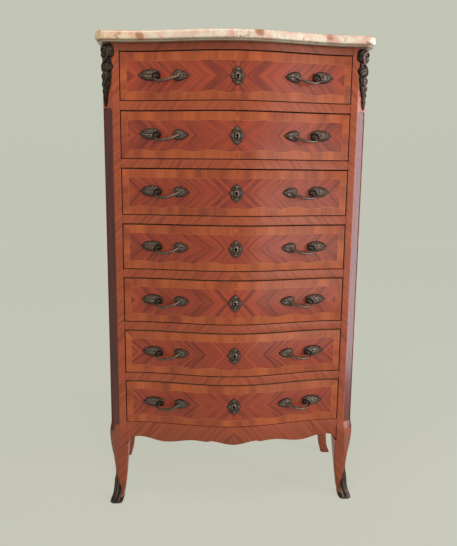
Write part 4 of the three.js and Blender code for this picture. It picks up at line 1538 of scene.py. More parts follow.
@dataclass(frozen=True)
class FrontRails(Part):
    """The top rail, the six dividers and the shaped apron, veneered and bowed, with oak boards behind.

    Args:
        depth: depth of the rails.
        divider: height of a divider.
        apron_thickness: thickness of the apron.
        drop: how far the apron hangs below the lowest drawer, at most.
        edge_shares: how much of the drop there is along half the apron.
        arris: how far the edges of the rails are softened.
        apron_arris: how far the edges of the apron are softened.
        mortise_depth: depth of the pocket for a bolt.
        mortise_gap: play round the bolt.
        board: thickness of the boards.
        guide: height of the guides on a board, for the drawer above.
        stop: width, depth and height of the two stops for its front.
        stop_place: distance of the stops from the middle, as a share of half the opening.
        drawer_front: thickness of the drawer fronts, which the stops stand behind.
        lap: how far what is glued to a board reaches into it.
    """

    depth: float = 0.032
    divider: float = 0.0235
    apron_thickness: float = 0.022
    drop: float = 0.063
    edge_shares: Rows = (
        (0, 0.841), (0.217, 0.691), (0.237, 0.734), (0.356, 0.701), (0.64, 0.881),
        (0.883, 0.685), (0.93, 0.705), (0.962, 0.775), (0.984, 0.87), (1, 1),
    )
    arris: float = 0.0007
    apron_arris: float = 0.0012
    mortise_depth: float = 0.008
    mortise_gap: float = 0.0012
    board: float = 0.008
    guide: float = 0.02
    stop: Triple = (0.024, 0.012, 0.005)
    stop_place: float = 0.72
    drawer_front: float = 0.02
    lap: float = 0.0004

    def rail(self, low: float, high: float) -> Skin:
        """A rail: a rectangle with soft arrises, carried along the front.

        Args:
            low: its underside.
            high: its top.

        Returns:
            The closed skin, with soiling and painted gap shade along both edges.
        """
        half = self.layout.opening_half - self.layout.gap
        section = rounded_box((0.0, low), (self.depth, high), np.array(self.arris), 5)
        # Soiling and painted shade of the gaps along both edges of the rail.
        dirt_and_shade = {"low_dirt": 1 - (section[:, 1] - low) / MM, "high_dirt": 1 - (high - section[:, 1]) / MM}
        return shell(self.layout.swept(np.linspace(-half, half, 121), section), **dirt_and_shade)

    def mortise(self, underside: float) -> Skin:
        """The pocket in a rail that the bolt of the lock below rises into.

        Args:
            underside: the underside of the rail.

        Returns:
            The pocket's volume, which starts a little below the rail.
        """
        low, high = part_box("drawer_1_lock_bolt")
        gap = self.mortise_gap
        foot = (low.x - gap, low.y - gap, underside - 0.002)
        return box_skin(foot, (high.x + gap, high.y + gap, underside + self.mortise_depth), 0.0004)

    def apron(self) -> Skin:
        """The apron: a rectangle whose foot follows the wavy edge, carried along the front.

        Returns:
            The closed skin.
        """
        case = self.layout
        half = case.opening_half - case.gap
        xs = np.linspace(-half, half, 301)
        foot = case.base - self.drop * wavy_rows(self.edge_shares, np.abs(xs) / case.opening_half)
        low = np.stack([np.zeros_like(xs), foot], -1)
        section = rounded_box(low, (self.apron_thickness, case.base), np.full(len(xs), self.apron_arris), 5)
        return shell(case.swept(xs, section))

    def plan(self) -> Array:
        """A board in plan: along the rail, round the front posts, to the back between the rear ones.

        Returns:
            Its outline, n x 2.
        """
        case = self.layout
        half, behind = case.opening_half - case.gap, case.stile_y + case.post_depth
        wide, rear = (case.case_half - case.gap - wood for wood in (case.side_board, case.rear_width))
        rear_front, back = (case.back_y - case.gap - wood for wood in (case.rear_depth, case.back_board))
        xs = np.linspace(-half, half, 61)
        front = np.stack([xs, case.front(xs) + self.depth], -1)
        right = [[half, behind], [wide, behind], [wide, rear_front], [rear, rear_front], [rear, back]]
        return np.concatenate([front, right, np.array(right[::-1]) * [-1, 1]])

    def boards(self, top: float, guided: bool) -> list[Skin]:
        """The board behind a rail, with guides for the drawer above and two stops for its front.

        Args:
            top: the top of the board.
            guided: whether a drawer runs on it.

        Returns:
            The board as a raised outline whose top edge draws in a little, and the blocks on it.
        """
        case = self.layout
        heights = np.array([top - self.board, top - 0.0005, top])[:, None]
        skins = [shell(raised(self.plan() * np.array([1.0, 1.0, 0.9988])[:, None, None], heights))]
        if not guided:
            return skins
        width, depth, rise = self.stop
        for side in (-1, 1):
            xs = sorted((side * case.opening_half, side * (case.case_half - case.side_board - case.gap)))
            low = (xs[0], case.stile_y + case.post_depth, top - self.lap)
            high = (xs[1], case.back_y - case.rear_depth - case.gap, top + self.guide)
            skins.append(box_skin(low, high))
            middle = side * self.stop_place * case.opening_half
            front = case.front(abs(middle) + width / 2) + self.drawer_front + case.gap
            low = (middle - width / 2, front, top - self.lap)
            skins.append(box_skin(low, (middle + width / 2, front + depth, top + rise), 0.0006))
        return skins

    def build(self) -> None:
        """Makes the rails and the boards behind them."""
        veneer, oak = self.finishes.veneer, self.finishes.oak
        rails = [("top_rail", *(corner.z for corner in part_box("top_rail")))]
        for number in range(1, self.layout.drawers):
            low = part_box(f"drawer_divider_{number}")[0].z
            rails.append((f"drawer_divider_{number}", low, low + self.divider))
        for node, low, high in rails:
            self.dress(f"{node}_veneer", self.rail(low, high), veneer, node, 30.0, self.mortise(low))
            self.dress(f"{node}_board", self.boards(high, node != "top_rail"), oak, node)
        self.dress("front_apron_veneer", self.apron(), veneer, "front_apron", 30.0)
        self.dress("front_apron_board", self.boards(self.layout.base, True), oak, "front_apron")


@dataclass(frozen=True)
class BackPanel(Part):
    """The back: upright oak boards, joined edge to edge with a small bevel at each joint.

    Args:
        boards: how many boards there are.
        bevel: width and depth of the bevels.
    """

    boards: int = 6
    bevel: float = 0.0016

    def build(self) -> None:
        """Makes the boards, each a rectangle in plan with soft edges, raised over the whole back."""
        low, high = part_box("back_panel")
        edges, gap = np.linspace(low.x, high.x, self.boards + 1), self.layout.gap / 2
        skins = [
            box_skin((start + gap, low.y, low.z), (end - gap, high.y, high.z), self.bevel, 3)
            for start, end in zip(edges[:-1], edges[1:])
        ]
        self.dress("back_boards", skins, self.finishes.boards, "back_panel")


# Cast ornament


@dataclass(frozen=True)
class Relief:
    """A casting in low relief: leaflets laid over one another, each an oval dome with a sunk midrib.

    Args:
        leaves: rows of x, z, half length, half width, angle in degrees and rise, in millimetres.
        base: how thick the casting is at its rim.
        veins: how close the fine veins lie, in radians over half a leaflet.
        vein_depth: depth of the veins, as a share of the rise like that of the midrib.
        slant: how far the veins slant back from the midrib.
        rib_depth: depth of the midrib.
        rib_half: half its width, as a share of the leaflet's.
    """

    leaves: Array
    base: float = 0.0009
    veins: float = 13.0
    vein_depth: float = 0.13
    slant: float = 0.8
    rib_depth: float = 0.28
    rib_half: float = 0.16

    @property
    def ovals(self) -> Array:
        """The columns of the leaflets, in metres and radians."""
        return (self.leaves * np.array([MM, MM, MM, MM, np.pi / 180, MM])).T

    def domes(self, x: Array, z: Array) -> tuple[Array, Array]:
        """Height of every leaflet at each point, and the highest of them.

        A dome is its rise times the root of 1 - r^2, where r is the point's distance from the middle
        of the leaflet in its own half length and half width. The midrib is a narrow dip along it, and
        the veins are a cosine wave that slants back from it on both sides.

        Args:
            x: places across.
            z: places up.

        Returns:
            The height, and the relief from 0 in the creases to 1 on the crests.
        """
        cx, cz, a, b, turn, rise = self.ovals
        dx, dz = x[..., None] - cx, z[..., None] - cz
        p = (dx * np.cos(turn) + dz * np.sin(turn)) / a
        q = (dz * np.cos(turn) - dx * np.sin(turn)) / b
        round_share = np.clip(1 - p * p - q * q, 0, 1) ** 0.5
        rib = 1 - self.rib_depth * np.exp(-((q / self.rib_half) ** 2)) * np.clip(1.3 - np.abs(p), 0, 1)
        rib = rib - self.vein_depth * (1 + np.cos(self.veins * (p + self.slant * np.abs(q))))
        height = (rise * round_share * rib).max(-1)
        shade = (round_share * rib).max(-1)
        return height, np.clip(0.15 + 0.35 * shade + 0.5 * height / rise.max(), 0, 1)

    def reach(self, x: float, z: Array | float, ux: Array | float, uz: Array | float) -> Array:
        """How far the casting reaches from points in given directions.

        The furthest root of the quadratic equation for the meeting of the ray and each oval.

        Args:
            x: x of the points.
            z: z of the points.
            ux: x of the directions.
            uz: z of the directions.

        Returns:
            The distance for each point and direction.
        """
        cx, cz, a, b, turn, _ = self.ovals
        c, s = np.cos(turn), np.sin(turn)
        ox, oz, ux, uz = (np.asarray(value)[..., None] for value in (x, z, ux, uz))
        p0, q0 = ((ox - cx) * c + (oz - cz) * s) / a, ((oz - cz) * c - (ox - cx) * s) / b
        p1, q1 = (ux * c + uz * s) / a, (uz * c - ux * s) / b
        k2, k1, k0 = p1 * p1 + q1 * q1, p0 * p1 + q0 * q1, p0 * p0 + q0 * q0 - 1
        root = k1 * k1 - k2 * k0
        return np.where(root > 0, (-k1 + np.sqrt(np.maximum(root, 0))) / k2, -np.inf).max(-1)

    def rosette(
        self, centre: tuple[float, float], hole: Array | None = None, count: int = 120
    ) -> tuple[Array, ...]:
        """The casting in rings about a point, from the back up over the rim to the crest.

        Args:
            centre: the point that the rings go round, inside the casting.
            hole: the reach of a hole about that point, which the rings stop at.
            count: points in a ring.

        Returns:
            x, z, rise and relief, each rings x count.
        """
        angle = np.linspace(0, 2 * np.pi, count, endpoint=False)
        far = self.reach(*centre, np.cos(angle), np.sin(angle))
        near = 0.02 * far if hole is None else hole
        back = [0.0, 0.35, 0.7, 0.97]
        share = np.concatenate([back, [1.0], 1 - np.linspace(0.008, 1, 26) ** 1.2])[:, None]
        reach = near + (far - near) * share
        x = centre[0] + reach * np.cos(angle)
        z = centre[1] + reach * np.sin(angle)
        height, relief = self.domes(x, z)
        ring = np.arange(len(share))[:, None]
        rise = np.where(ring == len(back), 0.55 * self.base, self.base + height)
        return x, z, np.where(ring < len(back), 0, rise), np.where(ring < len(back), 0.1, relief)


def acanthus(
    length: float, height: float, lift: float, rise: float, lobes: int, taper: float = 0.16
) -> Relief:
    """A leaf of lobes inside an ellipse: a long middle dome, and lobes on both sides that lean to the tip.

    The tips of the lobes lie on the ellipse, which narrows a little to the tip of the leaf. Their
    lean falls evenly from the stem to the tip.

    Args:
        length: of the leaf, in millimetres like the rest.
        height: of the leaf.
        lift: how far its middle lies above the zero height.
        rise: of its middle.
        lobes: how many there are on each side.
        taper: how much it narrows to the tip.

    Returns:
        The relief, about the middle of the leaf's length.
    """
    t = np.linspace(-0.8, 0.74, lobes)
    half = height / 2 * np.sqrt(1 - t * t) * (1 - taper * t)
    lean = 66 - 44 * t
    size = 0.42 * half + 2.4
    x = t * length / 2 - size * np.cos(np.radians(lean))
    z = half - size * np.sin(np.radians(lean))
    swell = rise * (0.72 + 0.2 * np.sqrt(1 - t * t))
    upper = np.stack([x, lift + z, size, 0.66 * size, lean, swell], 1)
    lower = np.stack([x, lift - z, size, 0.66 * size, -lean, 0.9 * swell], 1)
    middle = [0, lift, 0.42 * length, 0.32 * height, 0, rise]
    tip = [0.36 * length, lift, 0.14 * length, 3.4, 0, 0.8 * rise]
    return Relief(np.concatenate([[middle, tip], upper, lower]))


@dataclass(frozen=True, kw_only=True)
class Pull(Part):
    """A fixed pull: two cast leaves on the drawer, and a sinuous bar that ends in a scroll.

    Args:
        hand: the end of the drawer that it is on.
        level: height of its middle.
        outer: the leaf towards the stile, about its own middle.
        inner: the leaf towards the middle of the drawer, which its tip points to.
        outer_place: distance of the outer leaf from the middle of the front.
        inner_place: distance of the inner leaf.
        bar: rows of distance from the middle of the front, height, reach off the drawer and radius,
            in millimetres.
        ring_shares: places along the bar of the low rings round it.
        ring_share: half width of a ring.
        sides: how many faces the bar has round it.
    """

    hand: Hand
    level: float
    outer: Relief = acanthus(60, 29, 3.0, 5.4, 7)
    inner: Relief = acanthus(42, 27, 1.0, 5.2, 6, 0.34)
    outer_place: float = 0.2246
    inner_place: float = 0.145
    bar: Rows = (
        (150, 1, 4.5, 2.9), (157, -2.5, 9, 3.3), (165, -6.5, 14, 3.4), (175, -10, 18, 3.4),
        (186, -12.5, 19, 3.4), (197, -13.5, 18.5, 3.3), (207, -12.5, 17, 3.0), (214.5, -7.5, 15, 2.7),
        (216, -0.5, 13, 2.5), (212, 5, 11.5, 2.4), (205, 7, 10.5, 2.3), (199, 3.5, 9.6, 2.2),
        (198.5, -2.5, 9.2, 2.1), (203, -5, 8.8, 2.0), (207, -2, 8.4, 2.2),
    )
    ring_shares: tuple[float, ...] = (0.28, 0.33, 0.38)
    ring_share: float = 0.012
    sides: int = 12

    def bar_skin(self) -> Skin:
        """The bar: a smooth path through its rows, with low rings, and painted shade where the scroll begins.

        Returns:
            The closed skin.
        """
        t, x, z, reach, radius = along_chords(self.bar, 110)
        ring = sum(np.exp(-(((t - place) / self.ring_share) ** 2)) for place in self.ring_shares)
        path = self.layout.seated(self.hand.value * x, self.level + z, reach)
        bar = tube(path, radius * (1 + 0.22 * ring), np.array([0.0, -1.0, 0.0]), self.sides)
        # Painted shade: the bar is painted darker where it curls into the scroll.
        bar.marks["relief"] *= np.repeat(0.8 - 0.4 * np.clip((t - 0.52) / 0.15, 0, 1), self.sides)
        return bar

    def leaf_skin(self, relief: Relief, side: int, place: float) -> Skin:
        """A leaf: its rings mirrored for the side, moved to its place and laid on the front.

        Args:
            relief: the leaf.
            side: the side that its tip points to.
            place: distance of its middle towards that side.

        Returns:
            The closed skin.
        """
        x, z, rise, shade = relief.rosette((0.0, relief.leaves[0, 1] * MM))
        return shell(self.layout.seated(side * (place + x), self.level + z, rise), relief=shade)

    def build(self) -> None:
        """Makes the pull."""
        side, node = self.hand.value, f"{self.body}_{self.hand.name.lower()}_pull"
        leaves = [
            self.leaf_skin(self.outer, side, self.outer_place),
            self.leaf_skin(self.inner, -side, -self.inner_place),
        ]
        self.dress(f"{node}_casting", [*leaves, self.bar_skin()], self.finishes.bronze, node, 50.0)


@dataclass(frozen=True, kw_only=True)
class KeyPlate(Part):
    """A pierced key plate: a cartouche with four arms and scrolled edges, and a raised rim at the hole.

    Args:
        level: height of the round part of the keyhole.
        half_width: half the width of the plate, in millimetres like its height and drop.
        half_height: half its height.
        drop: how far its middle lies below the round part of the keyhole.
        hole_radius: radius of the round part of the keyhole.
        slot_half: half the width of its slot.
        slot_foot: how far the slot reaches below the round part.
        middle: the point that the rings go round, from the round part, in the slot.
        lip: height, distance from the hole and half width of the raised rim.
        shield: half length, half width and rise of the leaflet round the hole, in millimetres.
        arm: the same of an arm, whose tip is on the edge of the plate.
        sprig: the same of the leaflets beside an arm.
        sprig_place: how far a sprig lies inside the edge and beside the arm, and its lean.
        curl: the same of the scrolls between the arms.
        curl_place: x, z and angle of a scroll.
    """

    level: float
    half_width: float = 19.8
    half_height: float = 24.3
    drop: float = 0.5
    hole_radius: float = 0.0031
    slot_half: float = 0.0017
    slot_foot: float = 0.0088
    middle: float = -0.0029
    lip: Triple = (0.0016, 0.0012, 0.0009)
    shield: Triple = (14.5, 9.4, 3.0)
    arm: Triple = (7, 3.9, 2.9)
    sprig: Triple = (5.2, 3.1, 2.5)
    sprig_place: Triple = (8.2, 4.6, 38)
    curl: Triple = (5.4, 3.8, 2.1)
    curl_place: Triple = (9.5, 11, 48)

    def relief(self) -> Relief:
        """A shield round the hole, four arms that reach the plate's width and height, and scrolls between.

        Each arm is a long leaflet with a shorter one on both sides that leans away from it.

        Returns:
            The relief, about the round part of the keyhole.
        """

        def leaflet(x: float, z: float, turn: float, size: Triple) -> list[float]:
            """One row of the relief."""
            return [x, z, size[0], size[1], turn, size[2]]

        a, b = self.half_width, self.half_height
        inside, beside, lean = self.sprig_place
        rows = [leaflet(0, 0, 90, self.shield)]
        for turn, reach in ((0, a), (90, b), (180, a), (270, b)):
            c, s = math.cos(math.radians(turn)), math.sin(math.radians(turn))
            middle = reach - self.arm[0]
            rows.append(leaflet(middle * c, middle * s, turn, self.arm))
            for hand in (-1, 1):
                x, z = (reach - inside) * c - beside * hand * s, (reach - inside) * s + beside * hand * c
                rows.append(leaflet(x, z, turn + lean * hand, self.sprig))
        x, z, turn = self.curl_place
        rows += [leaflet(sx * x, sz * z, turn * sx * sz, self.curl) for sx in (-1, 1) for sz in (-1, 1)]
        leaves = np.array(rows, float)
        leaves[:, 1] -= self.drop
        return Relief(leaves)

    def hole(self, angle: Array) -> Array:
        """Reach of the keyhole about a point in it: the further of the circle's edge and the slot's.

        Args:
            angle: the directions.

        Returns:
            The distance in each direction.
        """
        c, s = np.cos(angle), np.sin(angle)
        up = -self.middle
        root = (s * up) ** 2 - up**2 + self.hole_radius**2
        circle = np.where(root >= 0, s * up + np.sqrt(np.maximum(root, 0)), 0)
        across = self.slot_half / np.maximum(np.abs(c), 1e-6)
        down, rise = self.slot_foot + self.middle, up
        along = np.where(s < 0, down, rise) / np.maximum(np.abs(s), 1e-6)
        return np.maximum(circle, np.minimum(across, along))

    def plug(self) -> Skin:
        """The keyhole's own volume.

        Returns:
            The closed skin, from before the drawer front to just short of its back.
        """
        angle = np.linspace(0, 2 * np.pi, 48, endpoint=False)
        reach, front = self.hole(angle), self.layout.front(0.0)
        x, z = reach * np.cos(angle), self.level + self.middle + reach * np.sin(angle)
        ends = (front - 0.004, front + 0.0195)
        return shell(np.stack([np.stack([x, np.full_like(x, y), z], -1) for y in ends]))

    def build(self) -> None:
        """Makes the plate, ring by ring from the hole's back edge over the rim and back down the hole."""
        hole = self.hole(np.linspace(0, 2 * np.pi, 120, endpoint=False))
        x, z, rise, shade = self.relief().rosette((0.0, self.middle), hole + 0.0001)
        height, place, width = self.lip
        lip = height * np.exp(-(((np.hypot(x, z - self.middle) - hole - place) / width) ** 2))
        front = rise > 0.0006
        rise, shade = rise + lip * front, np.clip(shade + 0.5 * (lip > height / 2) * front, 0, 1)
        skin = shell(self.layout.seated(x, self.level + z, rise), looped=True, relief=shade)
        node = f"{self.body}_escutcheon"
        self.dress(f"{node}_casting", skin, self.finishes.bronze, node, 50.0)


@dataclass(frozen=True)
class CornerMount(Part):
    """A cast drop on the cant: a scrolled shell at the head, leaves below it, and a long tail.

    Args:
        leaves: rows of the relief, with x across the cant and z up from the tail's tip.
        scroll: rows of x, z, rise and radius along the C-scroll at the head, in millimetres.
        widen: how much wider than the rows the casting is.
        shift: how far it is set toward the middle of the front, in millimetres.
        ends: heights of its lowest and highest row, in millimetres.
        levels: how many rows it has.
        across: how many points a row has.
    """

    leaves: Rows = (
        (5, 60, 60, 5, 93.9, 5), (7.8, 33, 31, 7.8, 93, 3.6), (4, 71, 34, 14.4, 94, 4.4),
        (1.2, 97, 29, 15.6, 93, 5), (0, 136, 20.3, 17.8, 90, 6), (0, 139, 17, 15, 90, 9),
        (-9, 142, 13, 8, 97, 11), (9, 142, 13, 8, 83, 11), (0, 143, 13, 6, 90, 12.5),
        (-11, 130, 9, 6.5, 60, 9.5), (11, 130, 9, 6.5, 120, 9.5), (0, 118, 11, 13, 90, 7.6),
        (-7, 112, 8, 5, 125, 6.5), (8, 111, 8, 5, 52, 6.5), (1, 98, 15, 11, 92, 10.5),
        (-9, 96, 12, 6.5, 108, 8.5), (11, 95, 12, 6.5, 74, 8.5), (2, 80, 14, 9, 93, 9.5),
        (-7, 76, 11, 5.5, 112, 7.5), (12, 75, 11, 5.5, 72, 7.5), (5, 62, 13, 8, 94, 8),
        (-3, 57, 10, 5, 115, 6.5), (12.5, 56, 10, 5, 74, 6.5), (7, 46, 11, 6, 94, 6.5),
        (1.5, 40, 9, 4.2, 112, 5.4), (12.5, 38, 9, 4, 76, 5.2), (8.5, 30, 10, 4.8, 93, 5),
        (5, 22, 8, 3.4, 108, 4.2), (12, 20, 8, 3.4, 80, 4), (9.3, 13, 9, 3.6, 92, 4),
        (9.5, 5.5, 5.4, 2.2, 91, 3),
    )
    scroll: Rows = (
        (4, 133, 11, 1.5), (8, 137, 12, 1.8), (7, 143, 12.5, 2.0), (0, 146, 12.8, 2.1),
        (-9, 143, 12, 2.2), (-13, 134, 10.5, 2.2), (-10, 124, 9, 2.1), (-2, 117, 8, 2.0),
        (7, 110, 8.5, 1.9), (11, 101, 9, 1.9), (8, 92, 10, 1.8), (1, 86, 10.5, 1.7),
        (-5, 78, 9, 1.6), (-3, 68, 8, 1.5), (4, 60, 7.5, 1.4), (8, 52, 6.5, 1.2),
    )
    widen: float = 1.2
    shift: float = -3.5
    ends: tuple[float, float] = (0.3, 155.6)
    levels: int = 190
    across: int = 33

    @property
    def outward(self) -> Array:
        """The direction straight out of the right cant, in plan."""
        return np.array([self.layout.cant[1], -self.layout.cant[0]]) / math.hypot(*self.layout.cant)

    def placed(self, side: int, u: Array, v: Array, rise: Array) -> Array:
        """Points on the cant: along it by u, up by v, and off it by the gap and the rise.

        Where u runs past the inner edge of the cant, the points turn back round it onto the stile.

        Args:
            side: -1 on the left, 1 on the right.
            u: places across, from the middle of the cant outward.
            v: heights.
            rise: how far each point stands off.

        Returns:
            The points, with one more axis.
        """
        case = self.layout
        cant, width = np.array(case.cant), math.hypot(*case.cant)
        middle = np.array([case.case_half - cant[0], case.stile_y]) + cant / 2
        past = np.maximum(-u - width / 2, 0) * cant[1] / cant[0]
        flat = middle + u[..., None] * cant / width + (rise + case.gap - past)[..., None] * self.outward
        return np.stack([side * flat[..., 0], flat[..., 1], v], -1)

    def build(self) -> None:
        """Makes both mounts: rows across the casting from edge to edge, with a flat back, and the scroll."""
        v = np.linspace(*self.ends, self.levels) * MM
        leaves = np.array(self.leaves) * [self.widen, 1, 1, self.widen, 1, 1] + [self.shift, 0, 0, 0, 0, 0]
        relief = Relief(leaves)
        left, right = -relief.reach(0.0, v, -1.0, 0.0), relief.reach(0.0, v, 1.0, 0.0)
        t = (1 - np.cos(np.linspace(0, np.pi, self.across))) / 2
        u_front = left[:, None] + (right - left)[:, None] * t
        height, shade = relief.domes(u_front, np.broadcast_to(v[:, None], u_front.shape))
        inner = (t > 0) & (t < 1)
        u_back = u_front[:, ::-1][:, ::4]
        u = np.concatenate([u_front, u_back], 1)
        rise_front = np.where(inner, relief.base + height, 0.4 * relief.base)
        rise = np.concatenate([rise_front, np.zeros_like(u_back)], 1)
        shade = np.concatenate([0.2 + 0.6 * shade, np.full_like(u_back, 0.2)], 1)
        rows = np.array(self.scroll) * [self.widen, 1, 1, 1] + [self.shift, 0, 0, 0]
        _, scroll_u, scroll_v, scroll_rise, radius = along_chords(rows, 120)
        for hand in Hand:
            side, node = hand.value, f"{hand.name.lower()}_corner_mount"
            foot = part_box(node)[0].z
            heights = np.broadcast_to(foot + v[:, None], u.shape)
            casting = shell(self.placed(side, u, heights, rise), relief=shade)
            path = self.placed(side, scroll_u, foot + scroll_v, scroll_rise)
            scroll = tube(path, radius, np.array([side * self.outward[0], self.outward[1], 0.0]))
            scroll.marks["relief"] *= 0.75
            self.dress(f"{node}_casting", [casting, scroll], self.finishes.bronze, node, 50.0)


@dataclass(frozen=True)
class Sabots(Part):
    """The bronze shoes: a cup round each front foot, with a ribbed leaf up the outer corner.

    Args:
        wall: how thick the shoe is, at most.
        cup: height of the cup on the inner faces.
        leaf: height of the leaf on the outer corner.
        leaf_half: half the width of the leaf at the cup.
        lobe: half the distance between two lobes of its edge.
        rib: half the distance between two ribs.
        sole: thickness of the sole.
        gauge: the height of the foot that the leaf is set out on.
    """

    wall: float = 0.002
    cup: float = 0.015
    leaf: float = 0.093
    leaf_half: float = 0.025
    lobe: float = 0.0042
    rib: float = 0.0036
    sole: float = 0.003
    gauge: float = 0.03

    def build(self) -> None:
        """Makes both shoes.

        The top edge is highest at the cant and falls away on both sides as a power of the distance
        from it, with small lobes. Ribs run up the leaf, and the outer skin turns over the edge.
        """
        post, gap = front_post(self.layout), self.layout.gap
        stations = Stations.around(7, (9, 7, 9, 5, 5), False)
        ring, _ = post.surface(1, np.full((1, len(stations.corner)), self.gauge), 0.0, stations)
        plan = ring[0, :, :2]
        outward = np.array([1.0, -1.0]) / math.sqrt(2)
        across = (plan - [self.layout.case_half, self.layout.stile_y]) @ np.array([outward[1], -outward[0]])
        front_side = (plan - plan.mean(0)) @ outward > 0
        spread = np.abs(across - across[front_side].mean()) / self.leaf_half
        tongue = np.where(front_side, np.clip(1 - spread, 0, 1) ** 1.25, 0)
        scallop = 1 + 0.04 * np.cos(np.pi * across / self.lobe) * (tongue > 0.02)
        top = self.cup + (self.leaf - self.cup) * np.clip(tongue * scallop, 0, 1)
        share = np.linspace(0, 1, 44)[:, None]
        heights = top * share
        rib = 0.5 + 0.5 * np.cos(np.pi * across / self.rib)
        swell = 0.45 + 0.55 * rib * np.sin(np.pi * share) ** 0.5
        # Rolled edges run round the top and just above the sole.
        rolled = np.exp(-(((share - 0.965) / 0.03) ** 2)) + np.exp(-(((heights - 0.0035) / 0.002) ** 2))
        thickness = self.wall * np.clip(np.maximum(swell, rolled), 0.3, 1)
        relief = np.clip(0.34 + 0.6 * np.maximum(swell - 0.3, 0.6 * rolled), 0, 1)
        shade = np.concatenate([relief, np.full_like(relief, 0.1)])
        inner_heights = self.sole + (top - 0.0004 - self.sole) * share[::-1]
        for hand in Hand:
            node = f"front_{hand.name.lower()}_sabot"
            outside, _ = post.surface(hand.value, heights, gap + thickness, stations)
            inside, _ = post.surface(hand.value, inner_heights, gap, stations)
            skin = shell(np.concatenate([outside, inside]), relief=shade)
            self.dress(f"{node}_casting", skin, self.finishes.bronze, node, 45.0)


# Drawers


@dataclass(frozen=True, kw_only=True)
class Drawer(Part):
    """One drawer: its veneered front, lock, key plate and pulls. Its box and bolt are the frame's own.

    Args:
        number: counted from the top.
        thickness: of the front.
        arris: how far the front's edges are softened.
        lock: width, thickness and depth below the keyhole of the lock case.
        lock_arris: how far the edges of the lock case are softened.
    """

    number: int
    thickness: float = 0.02
    arris: float = 0.0011
    lock: Triple = (0.055, 0.009, 0.018)
    lock_arris: float = 0.0008

    def board(self) -> Skin:
        """The front: a rectangle with soft arrises carried along the bow, drawn in at both ends.

        Returns:
            The closed skin, with the uv map that its marquetry reads.
        """
        low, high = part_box(f"{self.body}_front")
        turn = np.linspace(0, np.pi / 2, 5)
        ends = high.x - self.arris * (1 - np.sin(turn))
        drawn = self.arris * (1 - np.cos(turn))
        xs = np.linspace(-ends[0], ends[0], 141)[1:-1]
        places = np.concatenate([-ends[::-1], xs, ends])
        inset = np.concatenate([drawn[::-1], np.zeros(len(xs)), drawn])
        lower = np.stack([inset, low.z + inset], -1)
        upper = np.stack([self.thickness - inset, high.z - inset], -1)
        section = rounded_box(lower, upper, np.full(len(places), self.arris), 5)
        rings = self.layout.swept(places, section)
        uv = np.stack([rings[..., 0], rings[..., 2] - (low.z + high.z) / 2], -1)
        face = section[..., 0] < self.arris * 1.2
        seed = np.full(face.shape, 1.7 * self.number)
        return shell(rings, uv=uv, veneer=face, pocket=np.zeros(face.shape), seed=seed)

    def lock_case(self, level: float) -> Skin:
        """The lock case on the back of the front: a block with the slot that its bolt slides in.

        Rounded rectangles go up the outside, over the top edge and down into the slot.

        Args:
            level: height of the keyhole.

        Returns:
            The closed skin.
        """
        width, thick, below = self.lock
        front, top = self.layout.front(0.0) + self.thickness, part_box(f"{self.body}_front")[1].z
        bolt_low, bolt_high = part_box(f"{self.body}_lock_bolt")
        soft, gap, edge, seat = self.lock_arris, self.layout.gap, self.lock_arris / 2, 0.0001
        half, back, foot = width / 2, front + thick, level - below
        slot = (bolt_low.x - gap, bolt_low.y - gap, bolt_high.x + gap, bolt_high.y + gap)
        rows = np.array(
            [
                (foot, soft - half, front + seat, half - soft, back - soft, soft),
                (foot + soft, -half, front + seat, half, back, soft),
                (top - edge, -half, front + seat, half, back, soft),
                (top, edge - half, front + seat + edge, half - edge, back - edge, soft),
                (top, *slot, soft / 4),
                (bolt_low.z - gap, *slot, soft / 4),
            ]
        )
        return shell(raised(rounded_box(rows[:, 1:3], rows[:, 3:5], rows[:, 5]), rows[:, :1]))

    def build(self) -> None:
        """Makes the drawer's own pieces and their mounts."""
        low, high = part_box(f"{self.body}_front")
        level, node = (low.z + high.z) / 2, f"{self.body}_front"
        plate = KeyPlate(self.layout, self.finishes, self.body, level=level)
        self.dress(f"{self.body}_face", self.board(), self.finishes.front, node, 30.0, plate.plug())
        self.dress(f"{self.body}_lock_case", self.lock_case(level), self.finishes.steel, node)
        plate.build()
        for hand in Hand:
            Pull(self.layout, self.finishes, self.body, hand=hand, level=level).build()


# Studio


@dataclass(frozen=True)
class Lamp:
    """A soft rectangular lamp.

    Args:
        name: the lamp's name.
        place: where it hangs.
        size: width and height.
        power: in watts.
        hue: its colour.
        target: what it is turned to.
        card: whether it shows only as a gleam in polished faces, like a white card held up to them.
    """

    name: str
    place: Triple
    size: tuple[float, float]
    power: float
    hue: str
    target: Triple = (0.0, 0.0, 0.7)
    card: bool = False

    def hang(self) -> None:
        """Puts the lamp into the scene."""
        data = bpy.data.lights.new(self.name, "AREA")
        data.shape, data.size, data.size_y = "RECTANGLE", *self.size
        data.energy, data.color = self.power, linear(self.hue)[:3]
        lamp = bpy.data.objects.new(self.name, data)
        lamp.visible_camera, lamp.visible_diffuse = False, not self.card
        lamp.location = self.place
        lamp.rotation_euler = (Vector(self.target) - Vector(self.place)).to_track_quat("-Z", "Y").to_euler()
        bpy.context.scene.collection.objects.link(lamp)


